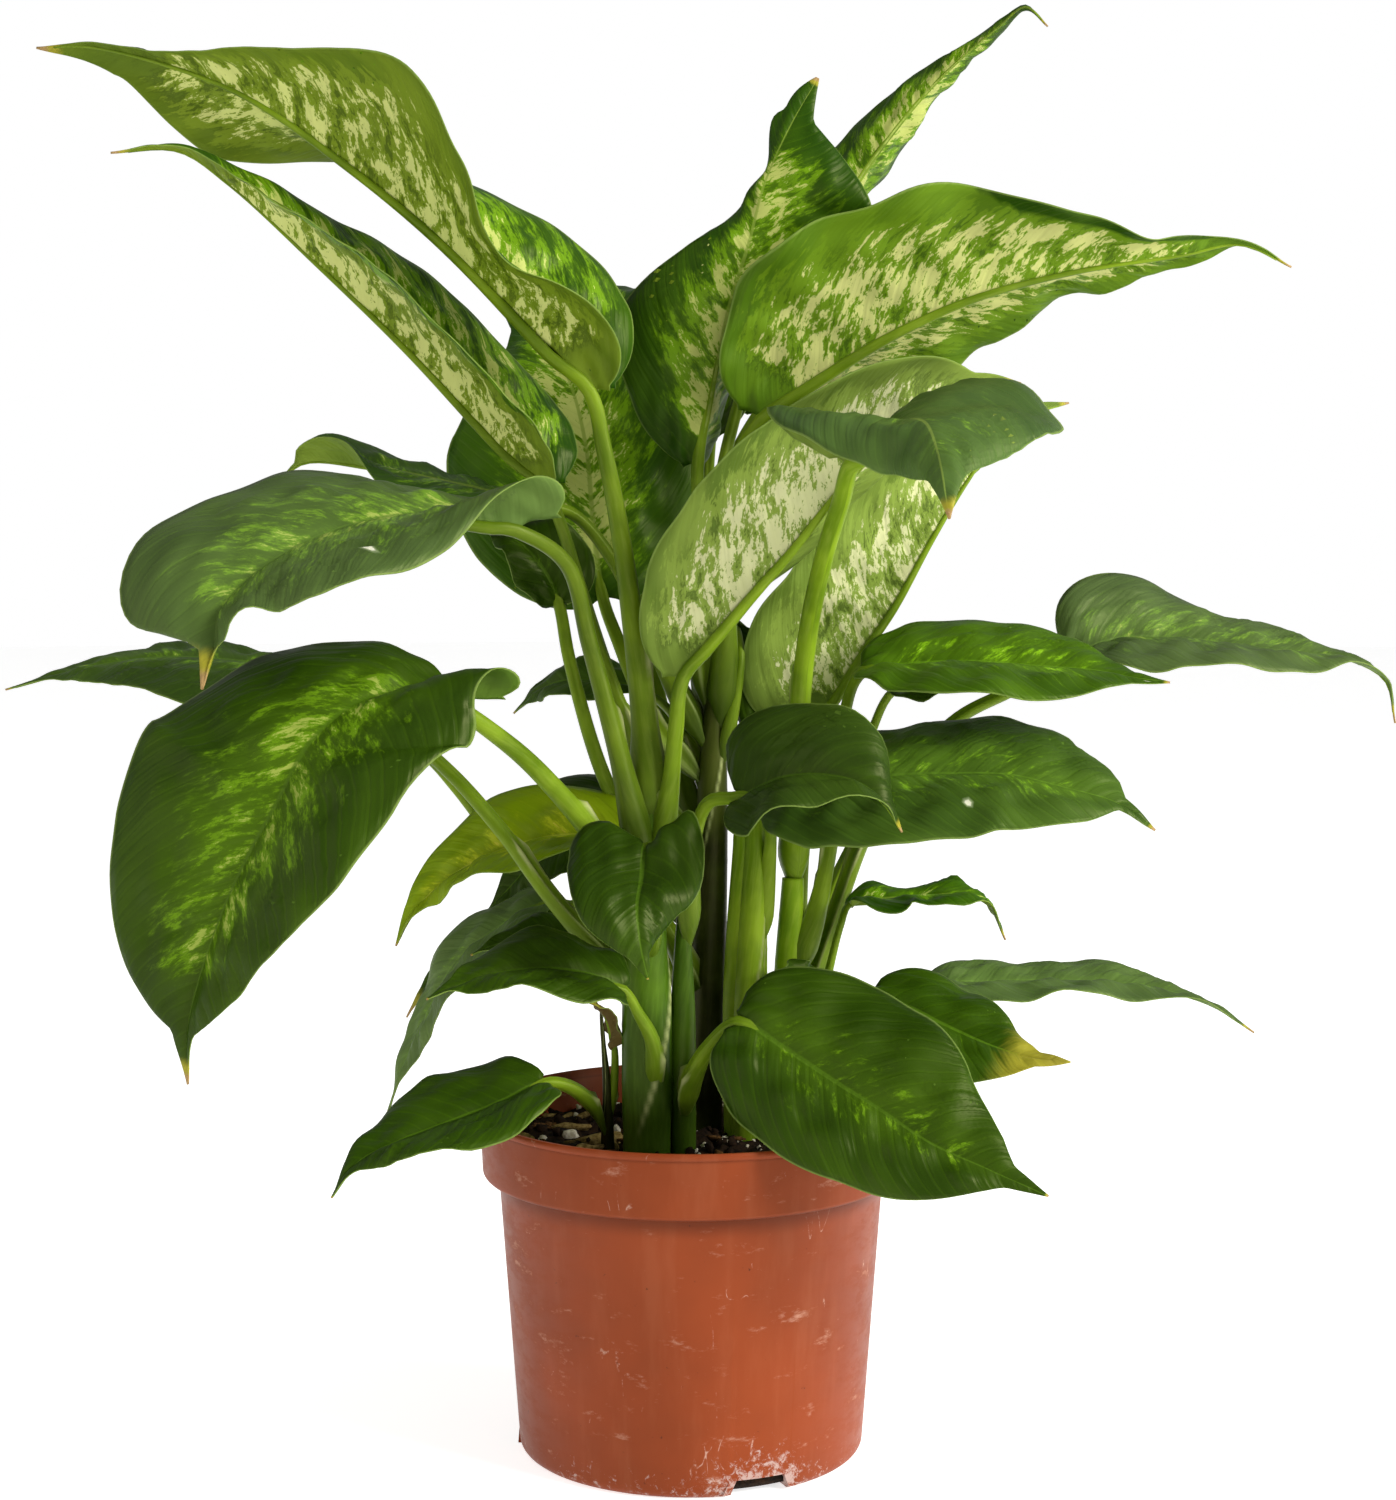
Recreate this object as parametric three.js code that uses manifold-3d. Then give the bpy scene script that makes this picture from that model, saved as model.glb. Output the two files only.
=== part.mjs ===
// A potted dieffenbachia: a nursery pot with its soil, the stems that stand in it, and every leaf as
// one piece of stalk and blade. Millimetres, +Z up, the origin on the floor under the pot's centre,
// -Y towards the viewer.
import * as THREE from "three";
import { mergeVertices } from "three/addons/utils/BufferGeometryUtils.js";
import Module from "manifold-3d";

const wasm = await Module();
wasm.setup();

const GAP = 0.3; // kept between every two pieces that touch

// ---- Pot and soil ----
const POT = {
  height: 97,
  rimRadius: 60,
  rimFootRadius: 58.5,
  rimDepth: 18.5,
  lipHeight: 2,
  lipProud: 0.7,
  shoulderRadius: 53.9,
  baseRadius: 48.5,
  baseRound: 3,
  bandRound: 1.2,
  wall: 1.3,
  sides: 40,
};
const FEET = {
  count: 3,
  firstDeg: -67,
  width: 19,
  slant: 2.5,
  height: 5,
  innerRadius: 30,
  drainRadius: 3.5,
  drainOffset: 3.8,
  drainSides: 12,
};
const SOIL = { top: 86, rings: 5, sides: 20, lump: 1.6 };

// ---- Stems: the points of the axis, root end first, and the radius at each ----
const STEMS = {
  main: {
    axis: [[-12, -20, 48], [-12, -20, 88], [-12, -20, 142], [-11, -18, 176]],
    radius: [6.2, 6.5, 6.1, 3.4],
  },
  middle: {
    axis: [[-1, -18, 52], [-2, -18, 90], [-2, -18, 130], [-2, -16, 160]],
    radius: [3.4, 3.5, 3.3, 1.2],
  },
  back: {
    axis: [[4, 12, 46], [4, 12, 88], [5, 12, 125], [6, 14, 182], [7, 16, 229]],
    radius: [4.8, 4.8, 4.6, 4, 1.6],
  },
  right_thick: {
    axis: [[15, 4, 50], [15, 4, 88], [15.5, 4, 126], [17, 5, 170]],
    radius: [5.5, 5.8, 6.2, 4.8],
  },
  right_far: {
    axis: [[28, 10, 50], [28, 10, 88], [28, 10, 131], [29, 11, 160]],
    radius: [4.2, 4.4, 4.3, 2.8],
  },
  shoot: {
    axis: [[-23, -15, 60], [-23, -15, 88], [-23, -16, 104], [-24, -17, 118]],
    radius: [2, 2.2, 1.5, 0.6],
  },
};

// ---- Leaves ----
// stem: the stem that the leaf is grown on. stalk and rib: the points that the leaf stalk and the
// midrib pass through; the stalk starts inside its stem. left and right: how far and which way each
// half of the blade reaches from the midrib at its widest, as seen looking from the stalk to the tip,
// spread evenly from the base to the tip of the blade.
// wave: the margin's rise and fall and its number along the blade. thick: the stalk's radius at the
// stem and at the blade. lobe: how far the base of the left and the right half runs back past the
// stalk, as a share of the half's width. taper: below 1 the blade keeps its width longer towards the
// tip. arch: the bulge of each half. strips: the flat strips across the blade. shade: its colour.
const USUAL = {
  wave: [1.2, 2.5],
  thick: [2.6, 1.7],
  lobe: [0.45, 0.45],
  taper: 1,
  arch: 0.1,
  strips: 4,
  shade: "dark",
};

const LEAVES = {
  upper_left: {
    stem: "main",
    stalk: [[-11, -17, 172], [-12, -14, 200], [-15, -13, 230], [-19, -14, 259], [-23, -16, 280]],
    rib: [
      [-27, -18, 296], [-39, -20, 309], [-66, -24, 336], [-90, -26, 355], [-121, -22, 375],
      [-158, -14, 387], [-176, -8, 388],
    ],
    left: [
      [30, -12, 14], [14, -18, 15], [5, -24, 5], [13, -20, 15], [20.5, -17, 24.5],
      [13.5, -15.5, 16.5], [7, -14, 9], [6, -11, 7], [5, -8, 5],
    ],
    right: [[26, 12, 31], [13.5, 19.5, 20], [3, 24, 0], [-12, 16, -35], [-14, 12, -34]],
    thick: [4.4, 2.2],
    shade: "bright",
  },
  second_left: {
    stem: "back",
    stalk: [[4, 12, 160], [-12, 6, 190], [-22, 4, 216], [-30, 1, 241], [-36, -2, 261]],
    rib: [
      [-40, -4, 270], [-53, -6, 283], [-75.5, -12, 307], [-99.5, -20, 330], [-121.5, -28, 350],
      [-134, -32, 358], [-151, -36, 357],
    ],
    left: [[8, -24, 9], [7, -22, 8], [4, -20, 6]],
    right: [[20, 18, 22], [13.5, 19, 14], [10.5, 19, 13], [8.5, 15, 10.5], [7.5, 14, 8]],
    shade: "bright",
  },
  back_big: {
    stem: "back",
    stalk: [[5, 14, 185], [-10, 15, 203], [-21, 16, 228]],
    rib: [
      [-25, 20, 239], [-28, 26, 261], [-30, 32, 281], [-35, 40, 300], [-44, 54, 315], [-58, 72, 325],
    ],
    left: [[-30, 4, 4], [-43, 4, -1], [-28, 4, -10]],
    right: [[26, 10, 2], [31, 10, 6], [24, 14, 14]],
    shade: "bright",
  },
  behind_left: {
    stem: "back",
    stalk: [[4, 12, 140], [-14, 13, 168], [-25, 11, 190], [-34, 8, 222]],
    rib: [[-37, 8, 238], [-41, 8, 247], [-47, 9, 254], [-54, 12, 258], [-60, 16, 260]],
    left: [[-8, -4, -3], [-6, -6, -4]],
    right: [[14, 0, 4], [13, 0, 2]],
  },
  left_level: {
    stem: "main",
    stalk: [[-12, -20, 162], [-19, -23, 196], [-27, -25, 228], [-33, -30, 250]],
    rib: [
      [-46, -38, 259], [-59, -42, 262], [-75, -50, 263], [-92, -58, 259], [-107, -66, 251],
      [-117, -72, 241], [-119, -76, 231], [-122, -79, 220],
    ],
    left: [[16, -10, 50], [4, -22, -2], [-2, -24, -15], [3, -16, -12], [2, -8, -6]],
    right: [[0, 24, 8], [-2, 28, 10], [-6, 28, 17], [-24, 18, 20], [-34, 2, 13]],
    thick: [3, 2],
    lobe: [1.2, 0.45],
    taper: 0.36,
  },
  left_folded: {
    stem: "back",
    stalk: [[5, 14, 195], [-10, 12, 225], [-22, 12, 250], [-32, 12, 262]],
    rib: [
      [-40, 8, 265], [-56, 4, 269], [-74, 8, 273], [-91, 14, 276], [-109, 20, 277], [-117, 24, 272],
    ],
    left: [[0, -14, -6], [0, -13, -8], [0, -12, -6], [2, -8, 8], [2, -6, 6]],
    right: [[4, 12, 3], [2, 12, 2], [2, 8, 16]],
    taper: 0.4,
  },
  lower_left: {
    stem: "main",
    stalk: [[-12, -18, 148], [-24, -24, 173], [-39, -38, 194], [-50, -52, 206]],
    rib: [
      [-62, -60, 215], [-72, -65, 218], [-84, -71, 216], [-95, -78, 207], [-103, -84, 192],
      [-113, -86, 173], [-121, -86, 153], [-126, -84, 135], [-127, -80, 120],
    ],
    left: [
      [8, -14, 46], [14, -20, -4], [15, -18, -27], [17, -16, -20], [20, -14, -14],
      [16, -13, -10], [13, -12, -8], [10, -8, -5],
    ],
    right: [
      [4, 24, 10], [-6, 24, 17], [-18, 24, 21], [-31, 20, 22], [-34, 14, 18], [-34, 10, 15],
      [-32, 8, 12], [-28, 6, 8],
    ],
    thick: [3.4, 2.2],
    taper: 0.6,
    lobe: [1.8, 0.6],
  },
  far_left: {
    stem: "main",
    stalk: [[-12, -20, 131], [-36, -18, 156], [-52, -15, 177], [-68, -10, 194]],
    rib: [
      [-97, 0, 215], [-111, 2, 219.5], [-129, 6, 222], [-149, 10, 222.5], [-172, 14, 219],
      [-194, 16, 213],
    ],
    left: [[0, -20, -14], [0, -20, -10], [0, -18, -2]],
    right: [[0, 16, 0], [0, 20, 5]],
  },
  yellow_left: {
    stem: "back",
    stalk: [[4, 12, 124], [-8, 2, 150]],
    rib: [
      [-18, 0, 170], [-31, 2, 173], [-45, 5, 171], [-62, 10, 164], [-73, 13, 156], [-80, 14, 148],
      [-84, 14, 140],
    ],
    left: [[0, -16, -3], [2, -14, -4]],
    right: [[0, 12, 14], [-14, 10, 11]],
    shade: "yellow",
  },
  dark_left: {
    stem: "back",
    stalk: [[4, 13, 146], [-5, 22, 166]],
    rib: [[-17, 26, 173], [-29, 28, 175], [-41, 31, 168], [-50, 34, 157], [-60, 36, 146]],
    left: [[6, -11, -9]],
    right: [[-6, 14, 10]],
  },
  hanging_left: {
    stem: "main",
    stalk: [[-13, -19, 128], [-25, 2, 149]],
    rib: [
      [-40, 10, 153], [-54, 12, 146], [-67, 14, 135], [-74, 14, 123], [-81, 12, 108], [-87, 10, 91],
    ],
    left: [[5, -14, -1]],
    right: [[-4, 14, 4]],
    thick: [2, 1.3],
  },
  hanging_behind: {
    stem: "back",
    stalk: [[4, 13, 136], [-20, 20, 151]],
    rib: [[-38, 23, 150], [-55, 27, 143], [-70, 31, 131], [-78, 32, 124], [-83, 32, 116]],
    left: [[3, -9, -3]],
    right: [[-3, 10, 3]],
    thick: [2, 1.2],
    strips: 2,
  },
  left_mid: {
    stem: "main",
    stalk: [[-11, -20, 100], [-10, -28, 120], [-14, -31, 129]],
    rib: [
      [-18, -34, 136], [-28, -38, 141], [-40, -42, 143], [-53, -46, 142], [-63, -50, 139],
      [-69, -54, 137],
    ],
    left: [[0, -16, -4]],
    right: [[0, 15, 8]],
    thick: [2.2, 1.4],
  },
  left_mid_behind: {
    stem: "main",
    stalk: [[-12, -18, 118], [-20, -10, 134]],
    rib: [[-26, -8, 142], [-36, -8, 145], [-47, -8, 146], [-61, -8, 141]],
    left: [[0, -5, -2]],
    right: [[0, 9, 5]],
    thick: [1.6, 1.1],
    strips: 2,
  },
  rim_left: {
    stem: "shoot",
    stalk: [[-23, -16, 91], [-27, -18, 101], [-33, -22, 107]],
    rib: [
      [-40, -26, 109], [-51, -32, 105], [-64, -38, 101], [-77, -43, 97], [-88, -47, 92],
      [-95, -50, 83],
    ],
    left: [[2, -19, -4.5]],
    right: [[-6, 16, 8.5]],
    thick: [1.8, 1.3],
  },
  heart_front: {
    stem: "main",
    stalk: [[-12, -20, 136], [-10, -28, 155], [-10, -31, 169]],
    rib: [[-12, -36, 175], [-13, -46, 167], [-14, -54, 161], [-13, -58, 152], [-11, -58, 143]],
    left: [[16, 2, 10], [13, 8, 2], [10, 8, 2]],
    right: [[-20, 0, 2]],
    thick: [2, 1.4],
    lobe: [1.5, 1],
  },
  center_right: {
    stem: "middle",
    stalk: [[-1, -17, 142], [1, -22, 176], [5, -28, 186]],
    rib: [
      [13, -34, 188], [25, -42, 194], [37, -48, 195], [45, -52, 193], [51, -54, 188], [55, -54, 181],
    ],
    left: [[-3, 18, 17]],
    right: [[1, -22, -7]],
    thick: [2.4, 1.8],
    lobe: [0.8, 0.3],
  },
  right_big: {
    stem: "right_thick",
    stalk: [[18, 5, 137], [21, 4, 160], [22, -2, 174]],
    rib: [
      [21, -8, 183], [38, -14, 190], [53, -18, 192], [70, -22, 193], [86, -26, 193], [100, -30, 190],
      [114, -32, 186], [124, -34, 179],
    ],
    left: [[-2, 28, 10], [0, 28, 12], [12, 20, 17]],
    right: [[0, -26, -20], [-2, -23, -15.5], [-4, -16, -10]],
    taper: 0.55,
  },
  right_mid: {
    stem: "right_far",
    stalk: [[28, 8, 128], [36, 11, 152], [41, 14, 180], [43, 14, 205]],
    rib: [
      [48, 4, 219], [61, 1, 221], [77, -2, 222], [95, -5, 221], [111, -8, 220], [122, -10, 218],
      [131, -12, 217],
    ],
    left: [[0, 18, 12], [2, 22, 9]],
    right: [[0, -24, -4], [0, -20, -12]],
    taper: 0.8,
  },
  right_behind: {
    stem: "right_far",
    stalk: [[28, 13, 118], [34, 24, 140], [41, 28, 170], [51, 28, 198]],
    rib: [[58, 26, 212], [70, 25, 215], [84, 22, 217], [97, 18, 217], [107, 14, 215]],
    left: [[0, 18, 6]],
    right: [[0, -16, -3]],
    thick: [2, 1.3],
  },
  far_right: {
    stem: "right_far",
    stalk: [[28, 10, 110], [40, 17, 145], [54, 26, 178], [76, 30, 203], [93, 31, 212]],
    rib: [
      [109, 32, 221], [122, 34, 226], [140, 34, 226.5], [158, 32, 224.5], [175, 30, 222.5],
      [189, 28, 221], [199, 26, 215], [201, 22, 203],
    ],
    left: [[2, 12, 32], [-2, 20, 11.5], [0, 20, 5], [0, 14, 3]],
    right: [[0, -24, -6], [0, -24, -7], [0, -20, -5], [0, -13, -3]],
    lobe: [0.1, 0.45],
  },
  pale_center: {
    stem: "main",
    stalk: [[-11, -17, 160], [-6, -20, 186], [-4, -20, 205]],
    rib: [
      [-2, -20, 219], [12, -20, 237], [27, -22, 254], [39, -24, 269], [52, -26, 283], [65, -24, 293],
      [79, -20, 298], [89, -16, 298],
    ],
    left: [[4, 26, 8], [6, 24, -4], [8, 18, -10]],
    right: [[-25, -6, 22], [-20, -12, 20], [-10, -16, 20]],
    thick: [2.8, 2],
    taper: 0.7,
    shade: "pale",
  },
  right_top: {
    stem: "back",
    stalk: [[8, 14, 200], [10, 11, 225], [10, 7, 250], [12, 3, 275]],
    rib: [
      [20, -2, 289], [38, -4, 302], [57, -6, 313], [78, -8, 322], [106, -8, 329], [133, -6, 333],
      [150, -4, 336], [164, -2, 330],
    ],
    left: [[0, 26, -10], [2, 24, -17], [3, 22, -12], [2, 18, -8], [2, 14, -5]],
    right: [[-24, -10, 34], [-19, -12, 32], [-10, -14, 26], [-4, -14, 12], [-4, -14, 8]],
    thick: [3, 2],
    shade: "bright",
  },
  top_right: {
    stem: "back",
    stalk: [[6.5, 15.5, 220], [7, 20, 245], [9, 26, 275], [21, 32, 315]],
    rib: [
      [33, 34, 337], [43, 36, 350], [54, 40, 366], [66, 44, 381], [77, 44, 392], [88, 42, 401],
      [95, 38, 406], [101, 34, 400],
    ],
    left: [[-18, 9, 6], [-11, 9, 5], [-4, 9, 5], [-4, 8, 5]],
    right: [[4, 14, -2]],
    thick: [2.2, 1.4],
    shade: "bright",
  },
  top: {
    stem: "back",
    stalk: [[5, 16, 205], [2, 13, 228], [1, 8, 250], [2, 4, 267]],
    rib: [
      [2, 4, 277], [4, 3, 286], [7, 1, 302], [11, -1, 321], [16, -2, 337], [20, 0, 352], [27, 4, 368],
      [35, 8, 382],
    ],
    left: [
      [-26, 8, -6], [-28, 7, -2], [-31, 6, 0], [-16, 4, -1], [-5, 5, 0], [-10, 6, 4], [-70, 10, 10],
    ],
    right: [[3, 24, 0], [8, 22, 0], [22, 20, 3], [44, 4, 6], [34, 2, 2]],
    thick: [2.6, 1.8],
    taper: 0.65,
    shade: "bright",
  },
  front_right: {
    stem: "right_far",
    stalk: [[29, 11, 154], [30, 14, 190], [32, 4, 225], [36, -16, 251], [40, -32, 267]],
    rib: [
      [42, -42, 276], [49, -56, 284], [54, -71, 287], [58, -86, 286], [60, -97, 279], [61, -105, 271],
      [62, -108, 263],
    ],
    left: [[16, 14, 8], [32, 14, 16], [44, 6, -3], [38, 2, -9], [28, 0, -2]],
    right: [[-34, 0, 18], [-30, 2, 2], [-19, 2, -11], [-13, 4, -20], [-10, 4, -20]],
    thick: [3.1, 2.4],
    shade: "bright",
  },
  pale_right: {
    stem: "right_far",
    stalk: [[28, 13, 130], [31, 20, 158], [34, 21, 186]],
    rib: [
      [38, 19, 205], [47, 17, 222], [57, 15, 237], [67, 15, 255], [77, 18, 271], [87, 22, 284],
      [98, 26, 291], [108, 32, 294],
    ],
    left: [[4, 26, 6], [4, 24, 4], [4, 18, 2]],
    right: [[-34, -6, 14], [-24, -8, 14], [-16, -12, 14]],
    lobe: [0.9, 0.9],
    shade: "pale",
  },
  small_right: {
    stem: "right_far",
    stalk: [[28, 9, 106], [37, 5, 128], [42, 5, 147]],
    rib: [[45, 9, 153], [54, 10, 154], [65, 10, 154.5], [75, 6, 156], [83, 4, 154], [88, 0, 144]],
    left: [[0, 12, 2]],
    right: [[0, -12, -1]],
    thick: [1.4, 1],
    strips: 2,
  },
  low_right: {
    stem: "right_thick",
    stalk: [[18, 3, 98], [31, 1, 115], [42, -2, 125]],
    rib: [
      [51, -4, 129], [61, -8, 126], [71, -14, 122], [82, -20, 118], [92, -24, 115.5], [103, -28, 115],
    ],
    left: [[2, 14, 9]],
    right: [[-3, -14, -12]],
    thick: [2, 1.4],
  },
  front_low: {
    stem: "middle",
    stalk: [[-2, -18, 95], [0, -25, 109], [5, -31, 120]],
    rib: [
      [13, -38, 128], [25, -44, 122], [37, -50, 115], [50, -57, 108], [62, -63, 101], [77, -68, 95],
      [92, -72, 89],
    ],
    left: [[15, 14, 21], [15, 14, 21], [14, 14, 19]],
    right: [[-14, -10, -19], [-13, -10, -18], [-9, -8, -13]],
    thick: [2.4, 1.7],
    taper: 0.8,
    lobe: [0.6, 0.6],
  },
  right_low: {
    stem: "right_far",
    stalk: [[28, 10, 93], [43, 20, 118], [56, 25, 125]],
    rib: [
      [68, 26, 127], [85, 28, 127], [103, 30, 127.2], [120, 30, 126.7], [136, 28, 125],
      [150, 24, 121.2], [162, 20, 113.8],
    ],
    left: [[0, 17, 3]],
    right: [[0, -15, -2]],
    thick: [2, 1.2],
  },
  small_left: {
    stem: "back",
    stalk: [[5, 14, 182], [-4, 23, 204]],
    rib: [[-15, 32, 212], [-26, 34, 214], [-37, 36, 214], [-44, 40, 211], [-52, 44, 204]],
    left: [[0, -10, -4]],
    right: [[0, 10, 6]],
    thick: [1.6, 1.1],
    strips: 2,
  },
  center_folded: {
    stem: "back",
    stalk: [[7, 14, 186], [12, 12, 208], [14, 12, 222]],
    rib: [[13, 19, 230], [13, 19, 221], [14, 18, 212], [16, 17, 203], [18, 16, 196]],
    left: [[8, 4, 2]],
    right: [[-6, 6, 0]],
    thick: [1.6, 1.1],
    strips: 2,
  },
  small_curled: {
    stem: "right_thick",
    stalk: [[18, 4, 121], [31, 4, 126]],
    rib: [[35, 2, 130], [31, -2, 133], [26, -6, 136], [23, -10, 136]],
    left: [[0, 0, -5]],
    right: [[2, 2, 5]],
    thick: [1.2, 0.9],
    strips: 2,
  },
  withered: {
    stem: "shoot",
    stalk: [[-23, -16, 92], [-21, -16, 108]],
    rib: [[-21, -18, 118], [-23, -20, 126], [-26, -22, 130], [-30, -24, 132]],
    left: [[2, -4, 1]],
    right: [[-2, 4, 1]],
    thick: [0.9, 0.8],
    strips: 2,
    shade: "dry",
  },
  // The leaves on the far side, which the photo doesn't show.
  back_high: {
    stem: "back",
    stalk: [[6, 17, 198], [-1, 34, 242], [-6, 52, 280]],
    rib: [[-12, 66, 300], [-22, 84, 316], [-32, 104, 326], [-40, 124, 328], [-46, 140, 320]],
    left: [[-26, -6, 4]],
    right: [[26, 6, 6]],
    shade: "bright",
  },
  back_top: {
    stem: "back",
    stalk: [[7, 17, 206], [5, 29, 240], [5, 37, 270]],
    rib: [[6, 38, 285], [10, 56, 312], [15, 74, 334], [20, 92, 346], [24, 108, 346]],
    left: [[-14, 2, 6]],
    right: [[14, -2, 6]],
    thick: [2, 1.4],
  },
  back_right_high: {
    stem: "back",
    stalk: [[6, 17, 176], [3, 32, 226], [10, 44, 272]],
    rib: [[20, 54, 292], [34, 72, 308], [50, 92, 318], [66, 108, 320], [78, 124, 312]],
    left: [[-20, 12, 4]],
    right: [[20, -12, 6]],
    shade: "bright",
  },
  back_left_center: {
    stem: "back",
    stalk: [[3, 14, 168], [-9, 36, 208], [-15, 46, 236]],
    rib: [[-20, 52, 252], [-26, 74, 266], [-34, 98, 272], [-42, 120, 268], [-50, 140, 256]],
    left: [[-25, -6, 2]],
    right: [[25, 6, 6]],
  },
  back_center: {
    stem: "back",
    stalk: [[6, 15, 168], [5, 32, 212], [7, 40, 234]],
    rib: [[8, 46, 243], [9, 66, 252], [8, 90, 254], [6, 112, 248], [4, 130, 236]],
    left: [[-20, 0, 3]],
    right: [[20, 0, 5]],
  },
  back_left: {
    stem: "back",
    stalk: [[4, 13, 108], [-28, 40, 134], [-54, 54, 160], [-70, 60, 180]],
    rib: [[-80, 64, 190], [-94, 70, 196], [-108, 78, 190], [-118, 86, 176], [-124, 96, 158]],
    left: [[-10, -18, 4]],
    right: [[12, 18, -2]],
  },
  back_right: {
    stem: "right_far",
    stalk: [[28, 12, 100], [38, 30, 146], [50, 42, 170]],
    rib: [[58, 50, 180], [74, 64, 190], [90, 78, 190], [104, 90, 182], [114, 100, 170]],
    left: [[-13, 16, 5]],
    right: [[13, -16, 3]],
  },
  back_left_low: {
    stem: "back",
    stalk: [[4, 14, 104], [-4, 26, 130], [-10, 36, 150]],
    rib: [[-14, 44, 160], [-18, 60, 166], [-22, 78, 166], [-26, 96, 158], [-30, 112, 144]],
    left: [[-18, -4, 3]],
    right: [[18, 4, 4]],
  },
  back_low: {
    stem: "back",
    stalk: [[4, 14, 90], [0, 28, 104], [-2, 40, 112]],
    rib: [[-3, 48, 114], [-4, 62, 112], [-5, 76, 104], [-5, 88, 92], [-5, 98, 78]],
    left: [[-15, 0, 2]],
    right: [[15, 0, 3]],
    thick: [2, 1.4],
    strips: 2,
  },
  back_low_right: {
    stem: "right_thick",
    stalk: [[17, 6, 92], [24, 24, 104], [32, 36, 110]],
    rib: [[38, 42, 112], [49, 56, 112], [60, 70, 106], [68, 84, 96], [74, 96, 84]],
    left: [[-12, 10, 3]],
    right: [[12, -10, 3]],
    thick: [2, 1.4],
    strips: 2,
  },
};

// ---- Blade ----
const STALK_STATIONS = [0, 0.33, 0.66, 0.93];
const FOOT_STATIONS = [0, 0.165, 0.33];
const BLADE_STATIONS = [0, 0.04, 0.12, 0.24, 0.37, 0.51, 0.65, 0.78, 0.88, 1];
const STEM_SIDES = 10;
const STEM_RINGS = 3; // between two points of a stem's axis
const CURVE_STEPS = 40; // between two points of a centre line, to measure it
const THICKNESS = 0.7;
const RIB_RISE = 1.4; // how far the midrib stands out of the underside at the base
const TIP_SHARE = 0.1; // the drawn-out tip, of the blade's length
const DRIP_SHARE = 0.13; // the part that narrows evenly to the point, of the blade's length
const NECK = 0.14; // half the width at the very base and where the tip starts, of the half width
const WIDENING = 0.6; // the power by which the blade widens from its base
const CALM_SHARE = 0.25; // the part at the tip in which the margin's wave dies out
const LOBE = { across: 1.5, along: 3 }; // the powers by which the base runs back past the stalk

const COLOURS = {
  pot: 0xa9502f,
  soil: 0x2a1d14,
  stem: 0x5d8f2a,
  dark: 0x2f5c1c,
  bright: 0x6f9a35,
  pale: 0xa9c27c,
  yellow: 0x8a9436,
  dry: 0x6d5a2e,
};

// ---- Solids ----

// A BufferGeometry as a manifold solid, with its shared corners merged.
function solidOf(geometry) {
  const bare = geometry.index ? geometry.toNonIndexed() : geometry.clone();
  bare.deleteAttribute("normal");
  bare.deleteAttribute("uv");
  const merged = mergeVertices(bare, 1e-4);
  return new wasm.Manifold(
    new wasm.Mesh({
      numProp: 3,
      vertProperties: merged.attributes.position.array,
      triVerts: new Uint32Array(merged.index.array),
    }),
  );
}

// The largest body of a solid, back as a BufferGeometry.
function geometryOf(solid) {
  const largest = solid.decompose().sort((a, b) => b.volume() - a.volume())[0];
  const mesh = largest.getMesh();
  const geometry = new THREE.BufferGeometry();
  geometry.setAttribute("position", new THREE.BufferAttribute(mesh.vertProperties, mesh.numProp));
  geometry.setIndex(new THREE.BufferAttribute(mesh.triVerts, 1));
  geometry.computeVertexNormals();
  return geometry;
}

// A closed body through rings of points, all of one even count. Each ring's first half is the upper
// side, left to right, and its second half the lower side, right to left, so that both sides are split
// into the same triangles.
function loft(rings) {
  const count = rings[0].length;
  const half = count / 2;
  const triangles = [];
  const quad = (a, b, c, d, flip) => {
    triangles.push(...(flip ? [a, b, d, b, c, d] : [a, b, c, a, c, d]));
  };
  for (let j = 0; j + 1 < rings.length; j++)
    for (let k = 0; k < count; k++) {
      const next = (k + 1) % count;
      quad(j * count + k, j * count + next, (j + 1) * count + next, (j + 1) * count + k, k < half);
    }
  const last = (rings.length - 1) * count;
  for (let k = 0; k + 1 < half; k++) {
    const across = [k, count - 1 - k, count - 2 - k, k + 1];
    quad(...across, false);
    quad(...across.reverse().map((i) => last + i), false);
  }
  const geometry = new THREE.BufferGeometry();
  const points = rings.flat().flatMap((p) => [p.x, p.y, p.z]);
  geometry.setAttribute("position", new THREE.Float32BufferAttribute(points, 3));
  geometry.setIndex(triangles);
  return geometry;
}

// ---- Curves and frames ----

const vector = (p) => new THREE.Vector3(...p);
const mix = (pair, t) => pair[0] + (pair[1] - pair[0]) * t;
const square = (direction, tangent) =>
  direction.clone().addScaledVector(tangent, -direction.dot(tangent)).normalize();

// The value at t of a list that is spread evenly from 0 to 1: the two neighbours and the share between.
function between(list, t) {
  const place = t * (list.length - 1);
  const low = Math.max(0, Math.min(Math.floor(place), list.length - 2));
  return [list[low], list[Math.min(low + 1, list.length - 1)], place - low];
}

function ringAt(centre, side, up, radius, count) {
  return Array.from({ length: count }, (_, k) => {
    const angle = Math.PI - ((k + 0.5) * 2 * Math.PI) / count;
    return centre
      .clone()
      .addScaledVector(side, radius * Math.cos(angle))
      .addScaledVector(up, radius * Math.sin(angle));
  });
}

// A round stem along its axis, grown all round by extra.
function stemGeometry(stem, extra = 0) {
  const steps = STEM_RINGS * (stem.axis.length - 1);
  const curve = new THREE.CatmullRomCurve3(stem.axis.map(vector));
  const rings = [];
  for (let i = 0; i <= steps; i++) {
    const [from, to, share] = between(stem.radius, i / steps);
    const tangent = curve.getTangent(i / steps);
    const up = square(new THREE.Vector3(0, 1, 0), tangent);
    const side = new THREE.Vector3().crossVectors(tangent, up);
    rings.push(ringAt(curve.getPoint(i / steps), side, up, mix([from, to], share) + extra, STEM_SIDES));
  }
  return loft(rings);
}

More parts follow.
